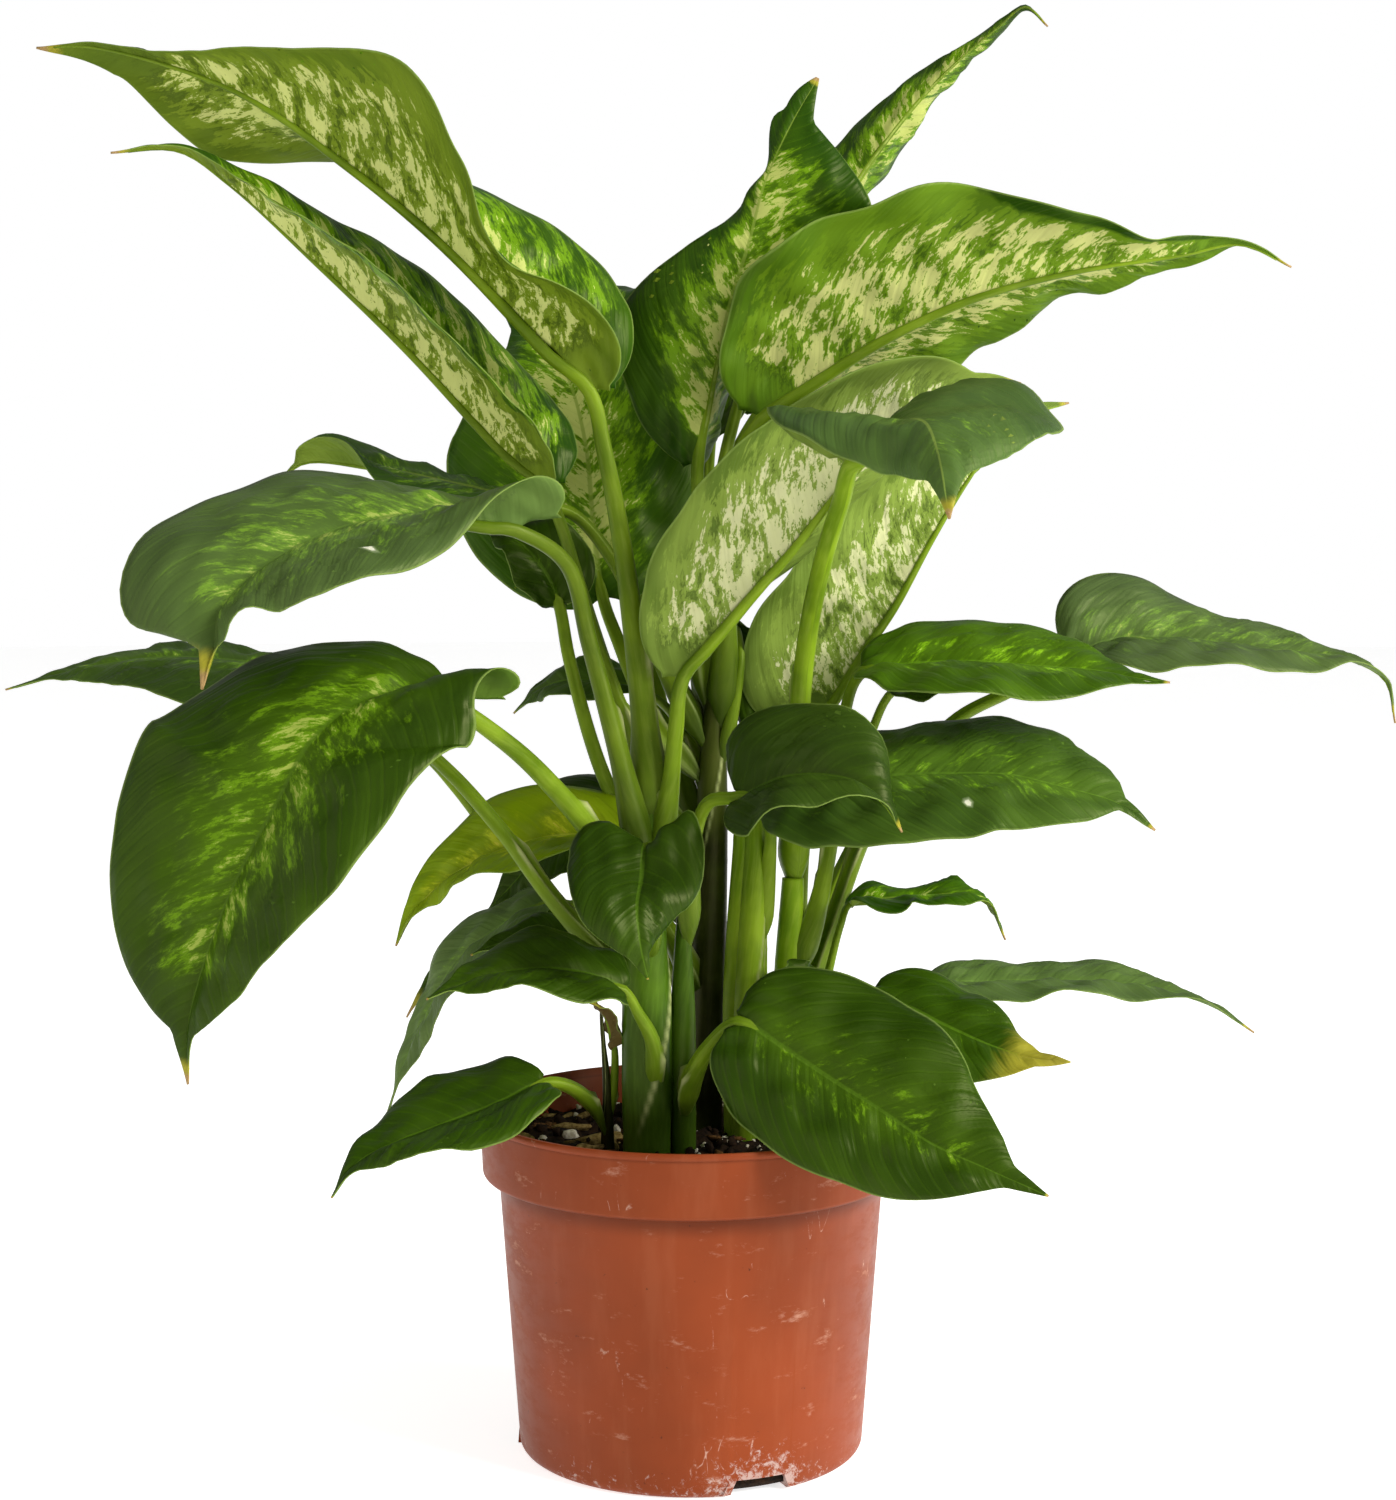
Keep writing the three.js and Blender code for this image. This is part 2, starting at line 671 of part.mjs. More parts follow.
// ---- Leaf ----

// The blade's width at t from base to tip, of its greatest width: a rounded base, widest before the
// middle, drawn out into a narrow tip.
function fullness(leaf, t) {
  const peak = WIDENING / (WIDENING + leaf.taper);
  const s = Math.min(t / (1 - TIP_SHARE), 1);
  const body = (s / peak) ** WIDENING * ((1 - s) / (1 - peak)) ** leaf.taper;
  return Math.max(body, NECK * Math.min(1, (1 - t) / DRIP_SHARE) + 0.01);
}

// One half of the blade at t: its reach, square to the midrib, and its upward normal.
function halfAt(leaf, tangent, t, side) {
  const [from, to, share] = between(side < 0 ? leaf.left : leaf.right, t);
  const arrow = vector(from).lerp(vector(to), share);
  const reach = square(arrow, tangent).multiplyScalar(arrow.length() * fullness(leaf, t));
  const normal = new THREE.Vector3().crossVectors(tangent, reach).multiplyScalar(-side).normalize();
  return { reach, normal };
}

// The point of the blade's middle surface at t along and u across, -1 to 1, and its upward normal.
function bladePoint(leaf, frame, t, u) {
  const s = Math.abs(u);
  const side = Math.sign(u) || 1;
  const { reach, normal } = halfAt(leaf, frame.tangent, t, side);
  if (u === 0) normal.add(halfAt(leaf, frame.tangent, t, -1).normal).normalize();
  const width = reach.length();
  const [height, number] = leaf.wave;
  const lobe = leaf.lobe[side < 0 ? 0 : 1];
  const calm = Math.min(1, (1 - t) / CALM_SHARE);
  const ripple = calm * height * s ** 2 * Math.sin(2 * Math.PI * number * t + side);
  const point = frame.centre
    .clone()
    .addScaledVector(reach, s)
    .addScaledVector(frame.tangent, -lobe * width * s ** LOBE.across * (1 - t) ** LOBE.along)
    .addScaledVector(normal, ripple + 4 * leaf.arch * width * s * (1 - s));
  return { point, normal };
}

// The leaf's centre line, and the share of its length at which the stalk ends and the blade starts.
function centreLine(leaf) {
  const points = [...leaf.stalk, ...leaf.rib];
  const curve = new THREE.CatmullRomCurve3(points.map(vector));
  const lengths = curve.getLengths(CURVE_STEPS * (points.length - 1));
  return { curve, start: lengths[CURVE_STEPS * leaf.stalk.length] / lengths[lengths.length - 1] };
}

// The lowest part of the stalk, grown all round by the gap: what the stalks beside it keep clear of.
function stalkFoot(leaf) {
  const { curve, start } = centreLine(leaf);
  const rings = FOOT_STATIONS.map((t) => {
    const tangent = curve.getTangentAt(start * t);
    const up = square(new THREE.Vector3(0, 1, 0), tangent);
    const side = new THREE.Vector3().crossVectors(tangent, up);
    return ringAt(curve.getPointAt(start * t), side, up, mix(leaf.thick, t) + 2 * GAP, STEM_SIDES);
  });
  return solidOf(loft(rings));
}

function leafGeometry(leaf) {
  const { curve, start } = centreLine(leaf);
  const count = 2 * (leaf.strips + 1);

  const bladeRings = BLADE_STATIONS.map((t) => {
    const at = start + t * (1 - start);
    const frame = { centre: curve.getPointAt(at), tangent: curve.getTangentAt(at) };
    const top = [];
    const bottom = [];
    for (let k = 0; k <= leaf.strips; k++) {
      const u = (2 * k) / leaf.strips - 1;
      const { point, normal } = bladePoint(leaf, frame, t, u);
      const below = THICKNESS / 2 + (u === 0 ? RIB_RISE * (1 - t) : 0);
      top.push(point.clone().addScaledVector(normal, THICKNESS / 2));
      bottom.unshift(point.clone().addScaledVector(normal, -below));
    }
    return [...top, ...bottom];
  });

  const first = curve.getTangentAt(start);
  let up = halfAt(leaf, first, 0, -1).normal.add(halfAt(leaf, first, 0, 1).normal);
  const stalkRings = [...STALK_STATIONS].reverse().map((t) => {
    const tangent = curve.getTangentAt(start * t);
    up = square(up, tangent);
    const side = new THREE.Vector3().crossVectors(tangent, up);
    return ringAt(curve.getPointAt(start * t), side, up, mix(leaf.thick, t), count);
  });
  return loft([...stalkRings.reverse(), ...bladeRings]);
}

// ---- Pot ----

// The pot's floor is raised over a few drainage channels, which run out through the wall's foot. A
// channel, or with extra the shell that covers it, from its inner end out to a radius.
function channel(index, outerRadius, extra) {
  const f = FEET;
  const half = f.width / 2 + extra;
  const top = f.height + extra;
  const section = new THREE.Shape(
    [
      [-half, -1],
      [half, -1],
      [half - f.slant, top],
      [-half + f.slant, top],
    ].map(([x, y]) => new THREE.Vector2(x, y)),
  );
  const inner = f.innerRadius - extra;
  const length = outerRadius - inner;
  const prism = new THREE.ExtrudeGeometry(section, { depth: length, bevelEnabled: false });
  prism.rotateX(Math.PI / 2).translate(0, outerRadius, 0); // along +Y, from inner to outer
  prism.rotateZ(THREE.MathUtils.degToRad(f.firstDeg - 90 + (360 * index) / f.count));
  return solidOf(prism);
}

function drainHole(index) {
  const f = FEET;
  const hole = new THREE.CylinderGeometry(f.drainRadius, f.drainRadius, 3 * f.height, f.drainSides);
  hole.rotateX(Math.PI / 2).translate(-f.drainOffset, (POT.baseRadius + f.innerRadius) / 2, f.height);
  hole.rotateZ(THREE.MathUtils.degToRad(f.firstDeg - 90 + (360 * index) / f.count));
  return solidOf(hole);
}

// The profile of the pot's inside, from the rim to the axis, or that of the soil a gap inside it.
function potInside(gap) {
  const p = POT;
  const rimFoot = p.height - p.rimDepth;
  return [
    [p.rimFootRadius - p.wall - gap, rimFoot + p.wall],
    [p.shoulderRadius - p.wall - gap, rimFoot],
    [p.baseRadius - p.wall - gap, p.baseRound + gap],
    [p.baseRadius - p.wall - 0.5 * p.baseRound - gap, p.wall + gap],
    [0, p.wall + gap],
  ];
}

function latheGeometry(profile, sides) {
  const points = profile.map(([r, z]) => new THREE.Vector2(r, z));
  return new THREE.LatheGeometry(points, sides).rotateX(Math.PI / 2);
}

function potSolid() {
  const p = POT;
  const rimFoot = p.height - p.rimDepth;
  const profile = [
    [0, 0],
    [p.baseRadius - p.baseRound, 0],
    [p.baseRadius - 0.3 * p.baseRound, 0.3 * p.baseRound],
    [p.baseRadius, p.baseRound],
    [p.shoulderRadius, rimFoot],
    [p.rimFootRadius - p.bandRound, rimFoot],
    [p.rimFootRadius, rimFoot + p.bandRound],
    [p.rimRadius - p.lipProud, p.height - p.lipHeight],
    [p.rimRadius, p.height - 0.6 * p.lipHeight],
    [p.rimRadius - 0.3, p.height],
    [p.rimRadius - p.wall, p.height],
    ...potInside(0),
  ];
  let pot = solidOf(latheGeometry(profile, p.sides));
  for (let i = 0; i < FEET.count; i++)
    pot = pot
      .add(channel(i, p.baseRadius - 0.5 * p.wall, p.wall).trimByPlane([0, 0, 1], 0))
      .subtract(channel(i, 2 * p.baseRadius, 0))
      .subtract(drainHole(i));
  return pot;
}

// ---- Soil ----

// The soil fills the pot to a little under its rim, with an uneven top, and has a plain hole for each
// stem. It keeps clear of the pot's wall and floor.
function soilSolid(holes) {
  const inside = potInside(GAP);
  const [rimRadius, rimZ] = inside[0];
  const topRadius = rimRadius + ((POT.rimRadius - POT.rimFootRadius) * (SOIL.top - rimZ)) / POT.rimDepth;
  const rings = Array.from({ length: SOIL.rings + 1 }, (_, i) => [(topRadius * i) / SOIL.rings, SOIL.top]);
  const geometry = latheGeometry([...inside.reverse(), ...rings.reverse()], SOIL.sides);
  const position = geometry.attributes.position;
  for (let i = 0; i < position.count; i++) {
    const [x, y, z] = [position.getX(i), position.getY(i), position.getZ(i)];
    if (z < SOIL.top - 0.01) continue;
    const middle = 1 - Math.hypot(x, y) / topRadius;
    const lumps = Math.sin(0.23 * x + 1) * Math.cos(0.31 * y) + 0.6 * Math.sin(0.41 * x - 0.37 * y);
    position.setZ(i, z + SOIL.lump * (lumps * Math.min(1, 4 * middle) + middle));
  }
  let soil = solidOf(geometry);
  for (const hole of holes) soil = soil.subtract(hole);
  for (let i = 0; i < FEET.count; i++) soil = soil.subtract(channel(i, POT.baseRadius, POT.wall + GAP));
  return soil;
}

// ---- Assembly ----

const plant = new THREE.Group();
const materials = Object.fromEntries(
  Object.entries(COLOURS).map(([name, color]) => [
    name,
    new THREE.MeshStandardMaterial({ color, roughness: 0.55, metalness: 0 }),
  ]),
);

function add(name, geometry, material, group = plant) {
  const mesh = new THREE.Mesh(geometry, materials[material]);
  mesh.name = name;
  group.add(mesh);
}

const grownStems = Object.values(STEMS).map((stem) => solidOf(stemGeometry(stem, GAP)));

add("pot", geometryOf(potSolid()), "pot");
add("soil", geometryOf(soilSolid(grownStems)), "soil");
const branches = {}; // each stem with the leaves that are grown on it
for (const [name, stem] of Object.entries(STEMS)) {
  branches[name] = new THREE.Group();
  plant.add(branches[name]);
  add("stem_" + name, stemGeometry(stem), "stem", branches[name]);
}
const feet = [];
for (const [name, row] of Object.entries(LEAVES)) {
  const whole = { ...USUAL, ...row };
  let leaf = solidOf(leafGeometry(whole));
  for (const other of [...grownStems, ...feet]) leaf = leaf.subtract(other);
  feet.push(stalkFoot(whole));
  add("leaf_" + name, geometryOf(leaf), whole.shade, branches[whole.stem]);
}

export default plant;
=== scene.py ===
"""A potted dieffenbachia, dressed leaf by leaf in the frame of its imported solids.

The rows below hold millimetres, as the solids' own rows do. Everything made is in metres.
"""

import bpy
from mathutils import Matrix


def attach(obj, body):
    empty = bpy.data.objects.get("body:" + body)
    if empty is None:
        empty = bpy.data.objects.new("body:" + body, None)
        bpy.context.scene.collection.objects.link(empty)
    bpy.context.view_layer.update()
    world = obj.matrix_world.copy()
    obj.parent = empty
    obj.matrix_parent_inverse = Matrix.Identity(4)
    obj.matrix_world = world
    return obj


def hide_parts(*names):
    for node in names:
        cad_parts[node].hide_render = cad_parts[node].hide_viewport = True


bl_info = {
    "name": "Potted Dieffenbachia",
    "version": (1, 0, 0),
    "blender": (4, 5, 0),
    "location": "View3D > Sidebar > Plant",
    "description": "Builds the pot, soil, stems and leaves of a potted dieffenbachia",
    "category": "Add Mesh",
}

import math

import bmesh
import bpy
import numpy as np
from bpy.props import FloatProperty, FloatVectorProperty, IntProperty, PointerProperty

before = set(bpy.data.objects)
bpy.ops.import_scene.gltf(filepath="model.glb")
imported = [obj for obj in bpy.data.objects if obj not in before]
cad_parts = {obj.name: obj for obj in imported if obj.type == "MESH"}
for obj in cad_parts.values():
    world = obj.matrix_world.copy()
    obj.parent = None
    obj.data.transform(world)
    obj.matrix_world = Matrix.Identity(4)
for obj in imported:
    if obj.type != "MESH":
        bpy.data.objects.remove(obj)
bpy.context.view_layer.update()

MM = 0.001
CM = 0.01

# ---- Pot and soil, as in the solids ----
FEET = dict(count=3, first=-67, width=19, slant=2.5, height=5, inner=30, drain=3.5)
SOIL = dict(top=86, radius=57.0, lump=1.6)
NOTCH_OUT = 47.5 * MM  # how far out a drainage notch opens
LIP_SHADE_HEIGHT = 94.7 * MM  # the height of the painted shade line in the groove under the rim's lip

# ---- Stems: the points of the axis, root end first, and the radius at each ----
STEMS = {
    "main": dict(
        axis=[(-12, -20, 48), (-12, -20, 88), (-12, -20, 142), (-11, -18, 176)],
        radius=(6.2, 6.5, 6.1, 3.4), gain=1.05,
    ),
    "middle": dict(
        axis=[(-1, -18, 52), (-2, -18, 90), (-2, -18, 130), (-2, -16, 160)],
        radius=(3.4, 3.5, 3.3, 1.2), gain=1,
    ),
    "back": dict(
        axis=[(4, 12, 46), (4, 12, 88), (5, 12, 125), (6, 14, 182), (7, 16, 229)],
        radius=(4.8, 4.8, 4.6, 4, 1.6), gain=1,
    ),
    "right_thick": dict(
        axis=[(15, 4, 50), (15, 4, 88), (15.5, 4, 126), (17, 5, 170)],
        radius=(5.5, 5.8, 6.2, 4.8), gain=0.8,
    ),
    "right_far": dict(
        axis=[(28, 10, 50), (28, 10, 88), (28, 10, 131), (29, 11, 160)],
        radius=(4.2, 4.4, 4.3, 2.8), gain=1.1,
    ),
    "shoot": dict(
        axis=[(-23, -15, 60), (-23, -15, 88), (-23, -16, 104), (-24, -17, 118)],
        radius=(2, 2.2, 1.5, 0.6), gain=1,
    ),
}

# ---- Leaves ----
# stalk and rib: the points that the leaf stalk and the midrib pass through. left and right: how
# far and which way each half of the blade reaches at its widest, from base to tip. thick: the
# stalk's radius at the stem and at the blade. lobe, taper and frill shape the blade's outline.
# look: how much of the upper side and of the underside is variegated, and the share of the
# blade's length that has dried. wide: how far out the variegation goes. shade: the name of its
# greens, unless finish names others. grey: how much greyish sheen is painted over them.
# gain: how bright they are. turned: stretches of the margin that are rolled over, each with its
# half, where it starts and ends along the blade and how deep it is, as a share of the half's
# width. spots: small bitten pale spots, each by where it is along and across the blade.
USUAL = dict(
    thick=(2.6, 1.7), lobe=(0.45, 0.45), taper=1, frill=0, turned=(), spots=(), shade="dark",
    finish="", grey=0, gain=1, stalk_gain=1, wide=1,
)
LEAVES = {}


def grow(name, stem, **row):
    """Adds a leaf on a stem, with its points read from text such as "x y z, x y z"."""
    for key in ("stalk", "rib", "left", "right"):
        row[key] = [tuple(map(float, point.split())) for point in row[key].split(",")]
    LEAVES[name] = {**USUAL, "stem": stem, **row}


grow(
    "upper_left", "main", look=(1, 0.9, 0.04), thick=(4.4, 2.2), shade="bright", wide=1.9, gain=1.1,
    stalk_gain=0.9,
    stalk="-11 -17 172, -12 -14 200, -15 -13 230, -19 -14 259, -23 -16 280",
    rib="-27 -18 296, -39 -20 309, -66 -24 336, -90 -26 355, -121 -22 375, -158 -14 387, "
        "-176 -8 388",
    left="30 -12 14, 14 -18 15, 5 -24 5, 13 -20 15, 20.5 -17 24.5, 13.5 -15.5 16.5, 7 -14 9, "
         "6 -11 7, 5 -8 5",
    right="26 12 31, 13.5 19.5 20, 3 24 0, -12 16 -35, -14 12 -34",
)
grow(
    "second_left", "back", look=(1, 0.95, 0.03), shade="bright", wide=2.6, gain=1.1, stalk_gain=0.8,
    turned=[(-1, 0.12, 0.8, 0.2)],
    stalk="4 12 160, -12 6 190, -22 4 216, -30 1 241, -36 -2 261",
    rib="-40 -4 270, -53 -6 283, -75.5 -12 307, -99.5 -20 330, -121.5 -28 350, -134 -32 358, "
        "-151 -36 357",
    left="8 -24 9, 7 -22 8, 4 -20 6",
    right="20 18 22, 13.5 19 14, 10.5 19 13, 8.5 15 10.5, 7.5 14 8",
)
grow(
    "back_big", "back", look=(1, 0.6, 0.02), shade="bright", wide=1.15, gain=1.2,
    stalk="5 14 185, -10 15 203, -21 16 228",
    rib="-25 20 239, -28 26 261, -30 32 281, -35 40 300, -44 54 315, -58 72 325",
    left="-30 4 4, -43 4 -1, -28 4 -10",
    right="26 10 2, 31 10 6, 24 14 14",
)
grow(
    "behind_left", "back", look=(0.35, 0.3, 0.02),
    stalk="4 12 140, -14 13 168, -25 11 190, -34 8 222",
    rib="-37 8 238, -41 8 247, -47 9 254, -54 12 258, -60 16 260",
    left="-8 -4 -3, -6 -6 -4",
    right="14 0 4, 13 0 2",
)
grow(
    "left_level", "main", look=(0.75, 0.4, 0.09), thick=(3, 2), lobe=(1.2, 0.45), taper=0.36,
    wide=1.2, grey=0.2, gain=1.25, stalk_gain=0.75, spots=[(0.48, -0.62)],
    stalk="-12 -20 162, -19 -23 196, -27 -25 228, -33 -30 250",
    rib="-46 -38 259, -59 -42 262, -75 -50 263, -92 -58 259, -107 -66 251, -117 -72 241, "
        "-119 -76 231, -122 -79 220",
    left="16 -10 50, 4 -22 -2, -2 -24 -15, 3 -16 -12, 2 -8 -6",
    right="0 24 8, -2 28 10, -6 28 17, -24 18 20, -34 2 13",
)
grow(
    "left_folded", "back", look=(0.6, 0.2, 0.02), taper=0.4, grey=0.1, gain=1.6, wide=1.2,
    finish="bright",
    stalk="5 14 195, -10 12 225, -22 12 250, -32 12 262",
    rib="-40 8 265, -56 4 269, -74 8 273, -91 14 276, -109 20 277, -117 24 272",
    left="0 -14 -6, 0 -13 -8, 0 -12 -6, 2 -8 8, 2 -6 6",
    right="4 12 3, 2 12 2, 2 8 16",
)
grow(
    "lower_left", "main", look=(0.75, 0.45, 0.05), thick=(3.4, 2.2), lobe=(1.8, 0.6), taper=0.6,
    wide=1.05, gain=0.95,
    stalk="-12 -18 148, -24 -24 173, -39 -38 194, -50 -52 206",
    rib="-62 -60 215, -72 -65 218, -84 -71 216, -95 -78 207, -103 -84 192, -113 -86 173, "
        "-121 -86 153, -126 -84 135, -127 -80 120",
    left="8 -14 46, 14 -20 -4, 15 -18 -27, 17 -16 -20, 20 -14 -14, 16 -13 -10, 13 -12 -8, 10 -8 -5",
    right="4 24 10, -6 24 17, -18 24 21, -31 20 22, -34 14 18, -34 10 15, -32 8 12, -28 6 8",
)
grow(
    "far_left", "main", look=(0.5, 0.4, 0.02), grey=0.06, gain=1.5,
    stalk="-12 -20 131, -36 -18 156, -52 -15 177, -68 -10 194",
    rib="-97 0 215, -111 2 219.5, -129 6 222, -149 10 222.5, -172 14 219, -194 16 213",
    left="0 -20 -14, 0 -20 -10, 0 -18 -2",
    right="0 16 0, 0 20 5",
)
grow(
    "yellow_left", "back", look=(0.6, 0.3, 0.02), shade="yellow", gain=1.74,
    stalk="4 12 124, -8 2 150",
    rib="-18 0 170, -31 2 173, -45 5 171, -62 10 164, -73 13 156, -80 14 148, -84 14 140",
    left="0 -16 -3, 2 -14 -4",
    right="0 12 14, -14 10 11",
)
grow(
    "dark_left", "back", look=(0.1, 0.2, 0.02),
    stalk="4 13 146, -5 22 166",
    rib="-17 26 173, -29 28 175, -41 31 168, -50 34 157, -60 36 146",
    left="6 -11 -9",
    right="-6 14 10",
)
grow(
    "hanging_left", "main", look=(0.4, 0.3, 0.03), thick=(2, 1.3), grey=0.28, gain=1.7,
    stalk="-13 -19 128, -25 2 149",
    rib="-40 10 153, -54 12 146, -67 14 135, -74 14 123, -81 12 108, -87 10 91",
    left="5 -14 -1",
    right="-4 14 4",
)
grow(
    "hanging_behind", "back", look=(0.2, 0.2, 0.14), thick=(2, 1.2),
    stalk="4 13 136, -20 20 151",
    rib="-38 23 150, -55 27 143, -70 31 131, -78 32 124, -83 32 116",
    left="3 -9 -3",
    right="-3 10 3",
)
grow(
    "left_mid", "main", look=(0.14, 0.2, 0.01), thick=(2.2, 1.4),
    stalk="-11 -20 100, -10 -28 120, -14 -31 129",
    rib="-18 -34 136, -28 -38 141, -40 -42 143, -53 -46 142, -63 -50 139, -69 -54 137",
    left="0 -16 -4",
    right="0 15 8",
)
grow(
    "left_mid_behind", "main", look=(0.1, 0.2, 0.02), thick=(1.6, 1.1),
    stalk="-12 -18 118, -20 -10 134",
    rib="-26 -8 142, -36 -8 145, -47 -8 146, -61 -8 141",
    left="0 -5 -2",
    right="0 9 5",
)
grow(
    "rim_left", "shoot", look=(0.1, 0.2, 0.01), thick=(1.8, 1.3), gain=1.15,
    stalk="-23 -16 91, -27 -18 101, -33 -22 107",
    rib="-40 -26 109, -51 -32 105, -64 -38 101, -77 -43 97, -88 -47 92, -95 -50 83",
    left="2 -19 -4.5",
    right="-6 16 8.5",
)
grow(
    "heart_front", "main", look=(0.14, 0.3, 0.01), thick=(2, 1.4), lobe=(1.5, 1), gain=0.95,
    stalk="-12 -20 136, -10 -28 155, -10 -31 169",
    rib="-12 -36 175, -13 -46 167, -14 -54 161, -13 -58 152, -11 -58 143",
    left="16 2 10, 13 8 2, 10 8 2",
    right="-20 0 2",
)
grow(
    "center_right", "middle", look=(0.25, 0.4, 0.06), thick=(2.4, 1.8), lobe=(0.8, 0.3), gain=0.85,
    grey=0.04,
    stalk="-1 -17 142, 1 -22 176, 5 -28 186",
    rib="13 -34 188, 25 -42 194, 37 -48 195, 45 -52 193, 51 -54 188, 55 -54 181",
    left="-3 18 17",
    right="1 -22 -7",
)
grow(
    "right_big", "right_thick", look=(0.5, 0.3, 0.02), taper=0.55, gain=1.49, grey=0.06, wide=1.1,
    spots=[(0.55, 0.55)],
    stalk="18 5 137, 21 4 160, 22 -2 174",
    rib="21 -8 183, 38 -14 190, 53 -18 192, 70 -22 193, 86 -26 193, 100 -30 190, 114 -32 186, "
        "124 -34 179",
    left="-2 28 10, 0 28 12, 12 20 17",
    right="0 -26 -20, -2 -23 -15.5, -4 -16 -10",
)
grow(
    "right_mid", "right_far", look=(0.45, 0.5, 0.02), taper=0.8, gain=1.75, wide=1.2,
    spots=[(0.93, 0.5)],
    stalk="28 8 128, 36 11 152, 41 14 180, 43 14 205",
    rib="48 4 219, 61 1 221, 77 -2 222, 95 -5 221, 111 -8 220, 122 -10 218, 131 -12 217",
    left="0 18 12, 2 22 9",
    right="0 -24 -4, 0 -20 -12",
)
grow(
    "right_behind", "right_far", look=(0.3, 0.3, 0.02), thick=(2, 1.3),
    stalk="28 13 118, 34 24 140, 41 28 170, 51 28 198",
    rib="58 26 212, 70 25 215, 84 22 217, 97 18 217, 107 14 215",
    left="0 18 6",
    right="0 -16 -3",
)
grow(
    "far_right", "right_far", look=(0.6, 0.4, 0.05), lobe=(0.1, 0.45), gain=1.25, grey=0.25,
    wide=1.3,
    stalk="28 10 110, 40 17 145, 54 26 178, 76 30 203, 93 31 212",
    rib="109 32 221, 122 34 226, 140 34 226.5, 158 32 224.5, 175 30 222.5, 189 28 221, 199 26 215, "
        "201 22 203",
    left="2 12 32, -2 20 11.5, 0 20 5, 0 14 3",
    right="0 -24 -6, 0 -24 -7, 0 -20 -5, 0 -13 -3",
)
grow(
    "pale_center", "main", look=(0.9, 1, 0.04), thick=(2.8, 2), taper=0.7, shade="pale", grey=0.06,
    wide=1.1, gain=1.05,
    stalk="-11 -17 160, -6 -20 186, -4 -20 205",
    rib="-2 -20 219, 12 -20 237, 27 -22 254, 39 -24 269, 52 -26 283, 65 -24 293, 79 -20 298, "
        "89 -16 298",
    left="4 26 8, 6 24 -4, 8 18 -10",
    right="-25 -6 22, -20 -12 20, -10 -16 20",
)
grow(
    "right_top", "back", look=(0.9, 1, 0.03), thick=(3, 2), shade="bright", wide=1.12, frill=1.2,
    turned=[(1, 0.48, 0.88, 0.26)], finish="vivid",
    stalk="8 14 200, 10 11 225, 10 7 250, 12 3 275",
    rib="20 -2 289, 38 -4 302, 57 -6 313, 78 -8 322, 106 -8 329, 133 -6 333, 150 -4 336, "
        "164 -2 330",
    left="0 26 -10, 2 24 -17, 3 22 -12, 2 18 -8, 2 14 -5",
    right="-24 -10 34, -19 -12 32, -10 -14 26, -4 -14 12, -4 -14 8",
)
grow(
    "top_right", "back", look=(1, 0.9, 0.03), thick=(2.2, 1.4), shade="bright", wide=1.7, gain=0.95,
    stalk="6.5 15.5 220, 7 20 245, 9 26 275, 21 32 315",
    rib="33 34 337, 43 36 350, 54 40 366, 66 44 381, 77 44 392, 88 42 401, 95 38 406, 101 34 400",
    left="-18 9 6, -11 9 5, -4 9 5, -4 8 5",
    right="4 14 -2",
)
grow(
    "top", "back", look=(1, 0.9, 0.02), thick=(2.6, 1.8), taper=0.65, shade="bright", wide=1.2,
    stalk="5 16 205, 2 13 228, 1 8 250, 2 4 267",
    rib="2 4 277, 4 3 286, 7 1 302, 11 -1 321, 16 -2 337, 20 0 352, 27 4 368, 35 8 382",
    left="-26 8 -6, -28 7 -2, -31 6 0, -16 4 -1, -5 5 0, -10 6 4, -70 10 10",
    right="3 24 0, 8 22 0, 22 20 3, 44 4 6, 34 2 2",
)
grow(
    "front_right", "right_far", look=(0.35, 0.45, 0.06), thick=(3.1, 2.4), shade="bright", grey=0.2,
    gain=1.15, wide=1.1, stalk_gain=1.3,
    stalk="29 11 154, 30 14 190, 32 4 225, 36 -16 251, 40 -32 267",
    rib="42 -42 276, 49 -56 284, 54 -71 287, 58 -86 286, 60 -97 279, 61 -105 271, 62 -108 263",
    left="16 14 8, 32 14 16, 44 6 -3, 38 2 -9, 28 0 -2",
    right="-34 0 18, -30 2 2, -19 2 -11, -13 4 -20, -10 4 -20",
)
grow(
    "pale_right", "right_far", look=(0.9, 1, 0.03), lobe=(0.9, 0.9), shade="pale", grey=0.05,
    wide=1.1, gain=1.12,
    stalk="28 13 130, 31 20 158, 34 21 186",
    rib="38 19 205, 47 17 222, 57 15 237, 67 15 255, 77 18 271, 87 22 284, 98 26 291, 108 32 294",
    left="4 26 6, 4 24 4, 4 18 2",
    right="-34 -6 14, -24 -8 14, -16 -12 14",
)
grow(
    "small_right", "right_far", look=(0.7, 0.5, 0.06), thick=(1.4, 1), gain=1.5, finish="bright",
    stalk="28 9 106, 37 5 128, 42 5 147",
    rib="45 9 153, 54 10 154, 65 10 154.5, 75 6 156, 83 4 154, 88 0 144",
    left="0 12 2",
    right="0 -12 -1",
)
grow(
    "low_right", "right_thick", look=(0.2, 0.3, 0.3), thick=(2, 1.4), gain=1.32,
    stalk="18 3 98, 31 1 115, 42 -2 125",
    rib="51 -4 129, 61 -8 126, 71 -14 122, 82 -20 118, 92 -24 115.5, 103 -28 115",
    left="2 14 9",
    right="-3 -14 -12",
)
grow(
    "front_low", "middle", look=(0.45, 0.3, 0.01), thick=(2.4, 1.7), lobe=(0.6, 0.6), taper=0.8,
    gain=0.95,
    stalk="-2 -18 95, 0 -25 109, 5 -31 120",
    rib="13 -38 128, 25 -44 122, 37 -50 115, 50 -57 108, 62 -63 101, 77 -68 95, 92 -72 89",
    left="15 14 21, 15 14 21, 14 14 19",
    right="-14 -10 -19, -13 -10 -18, -9 -8 -13",
)
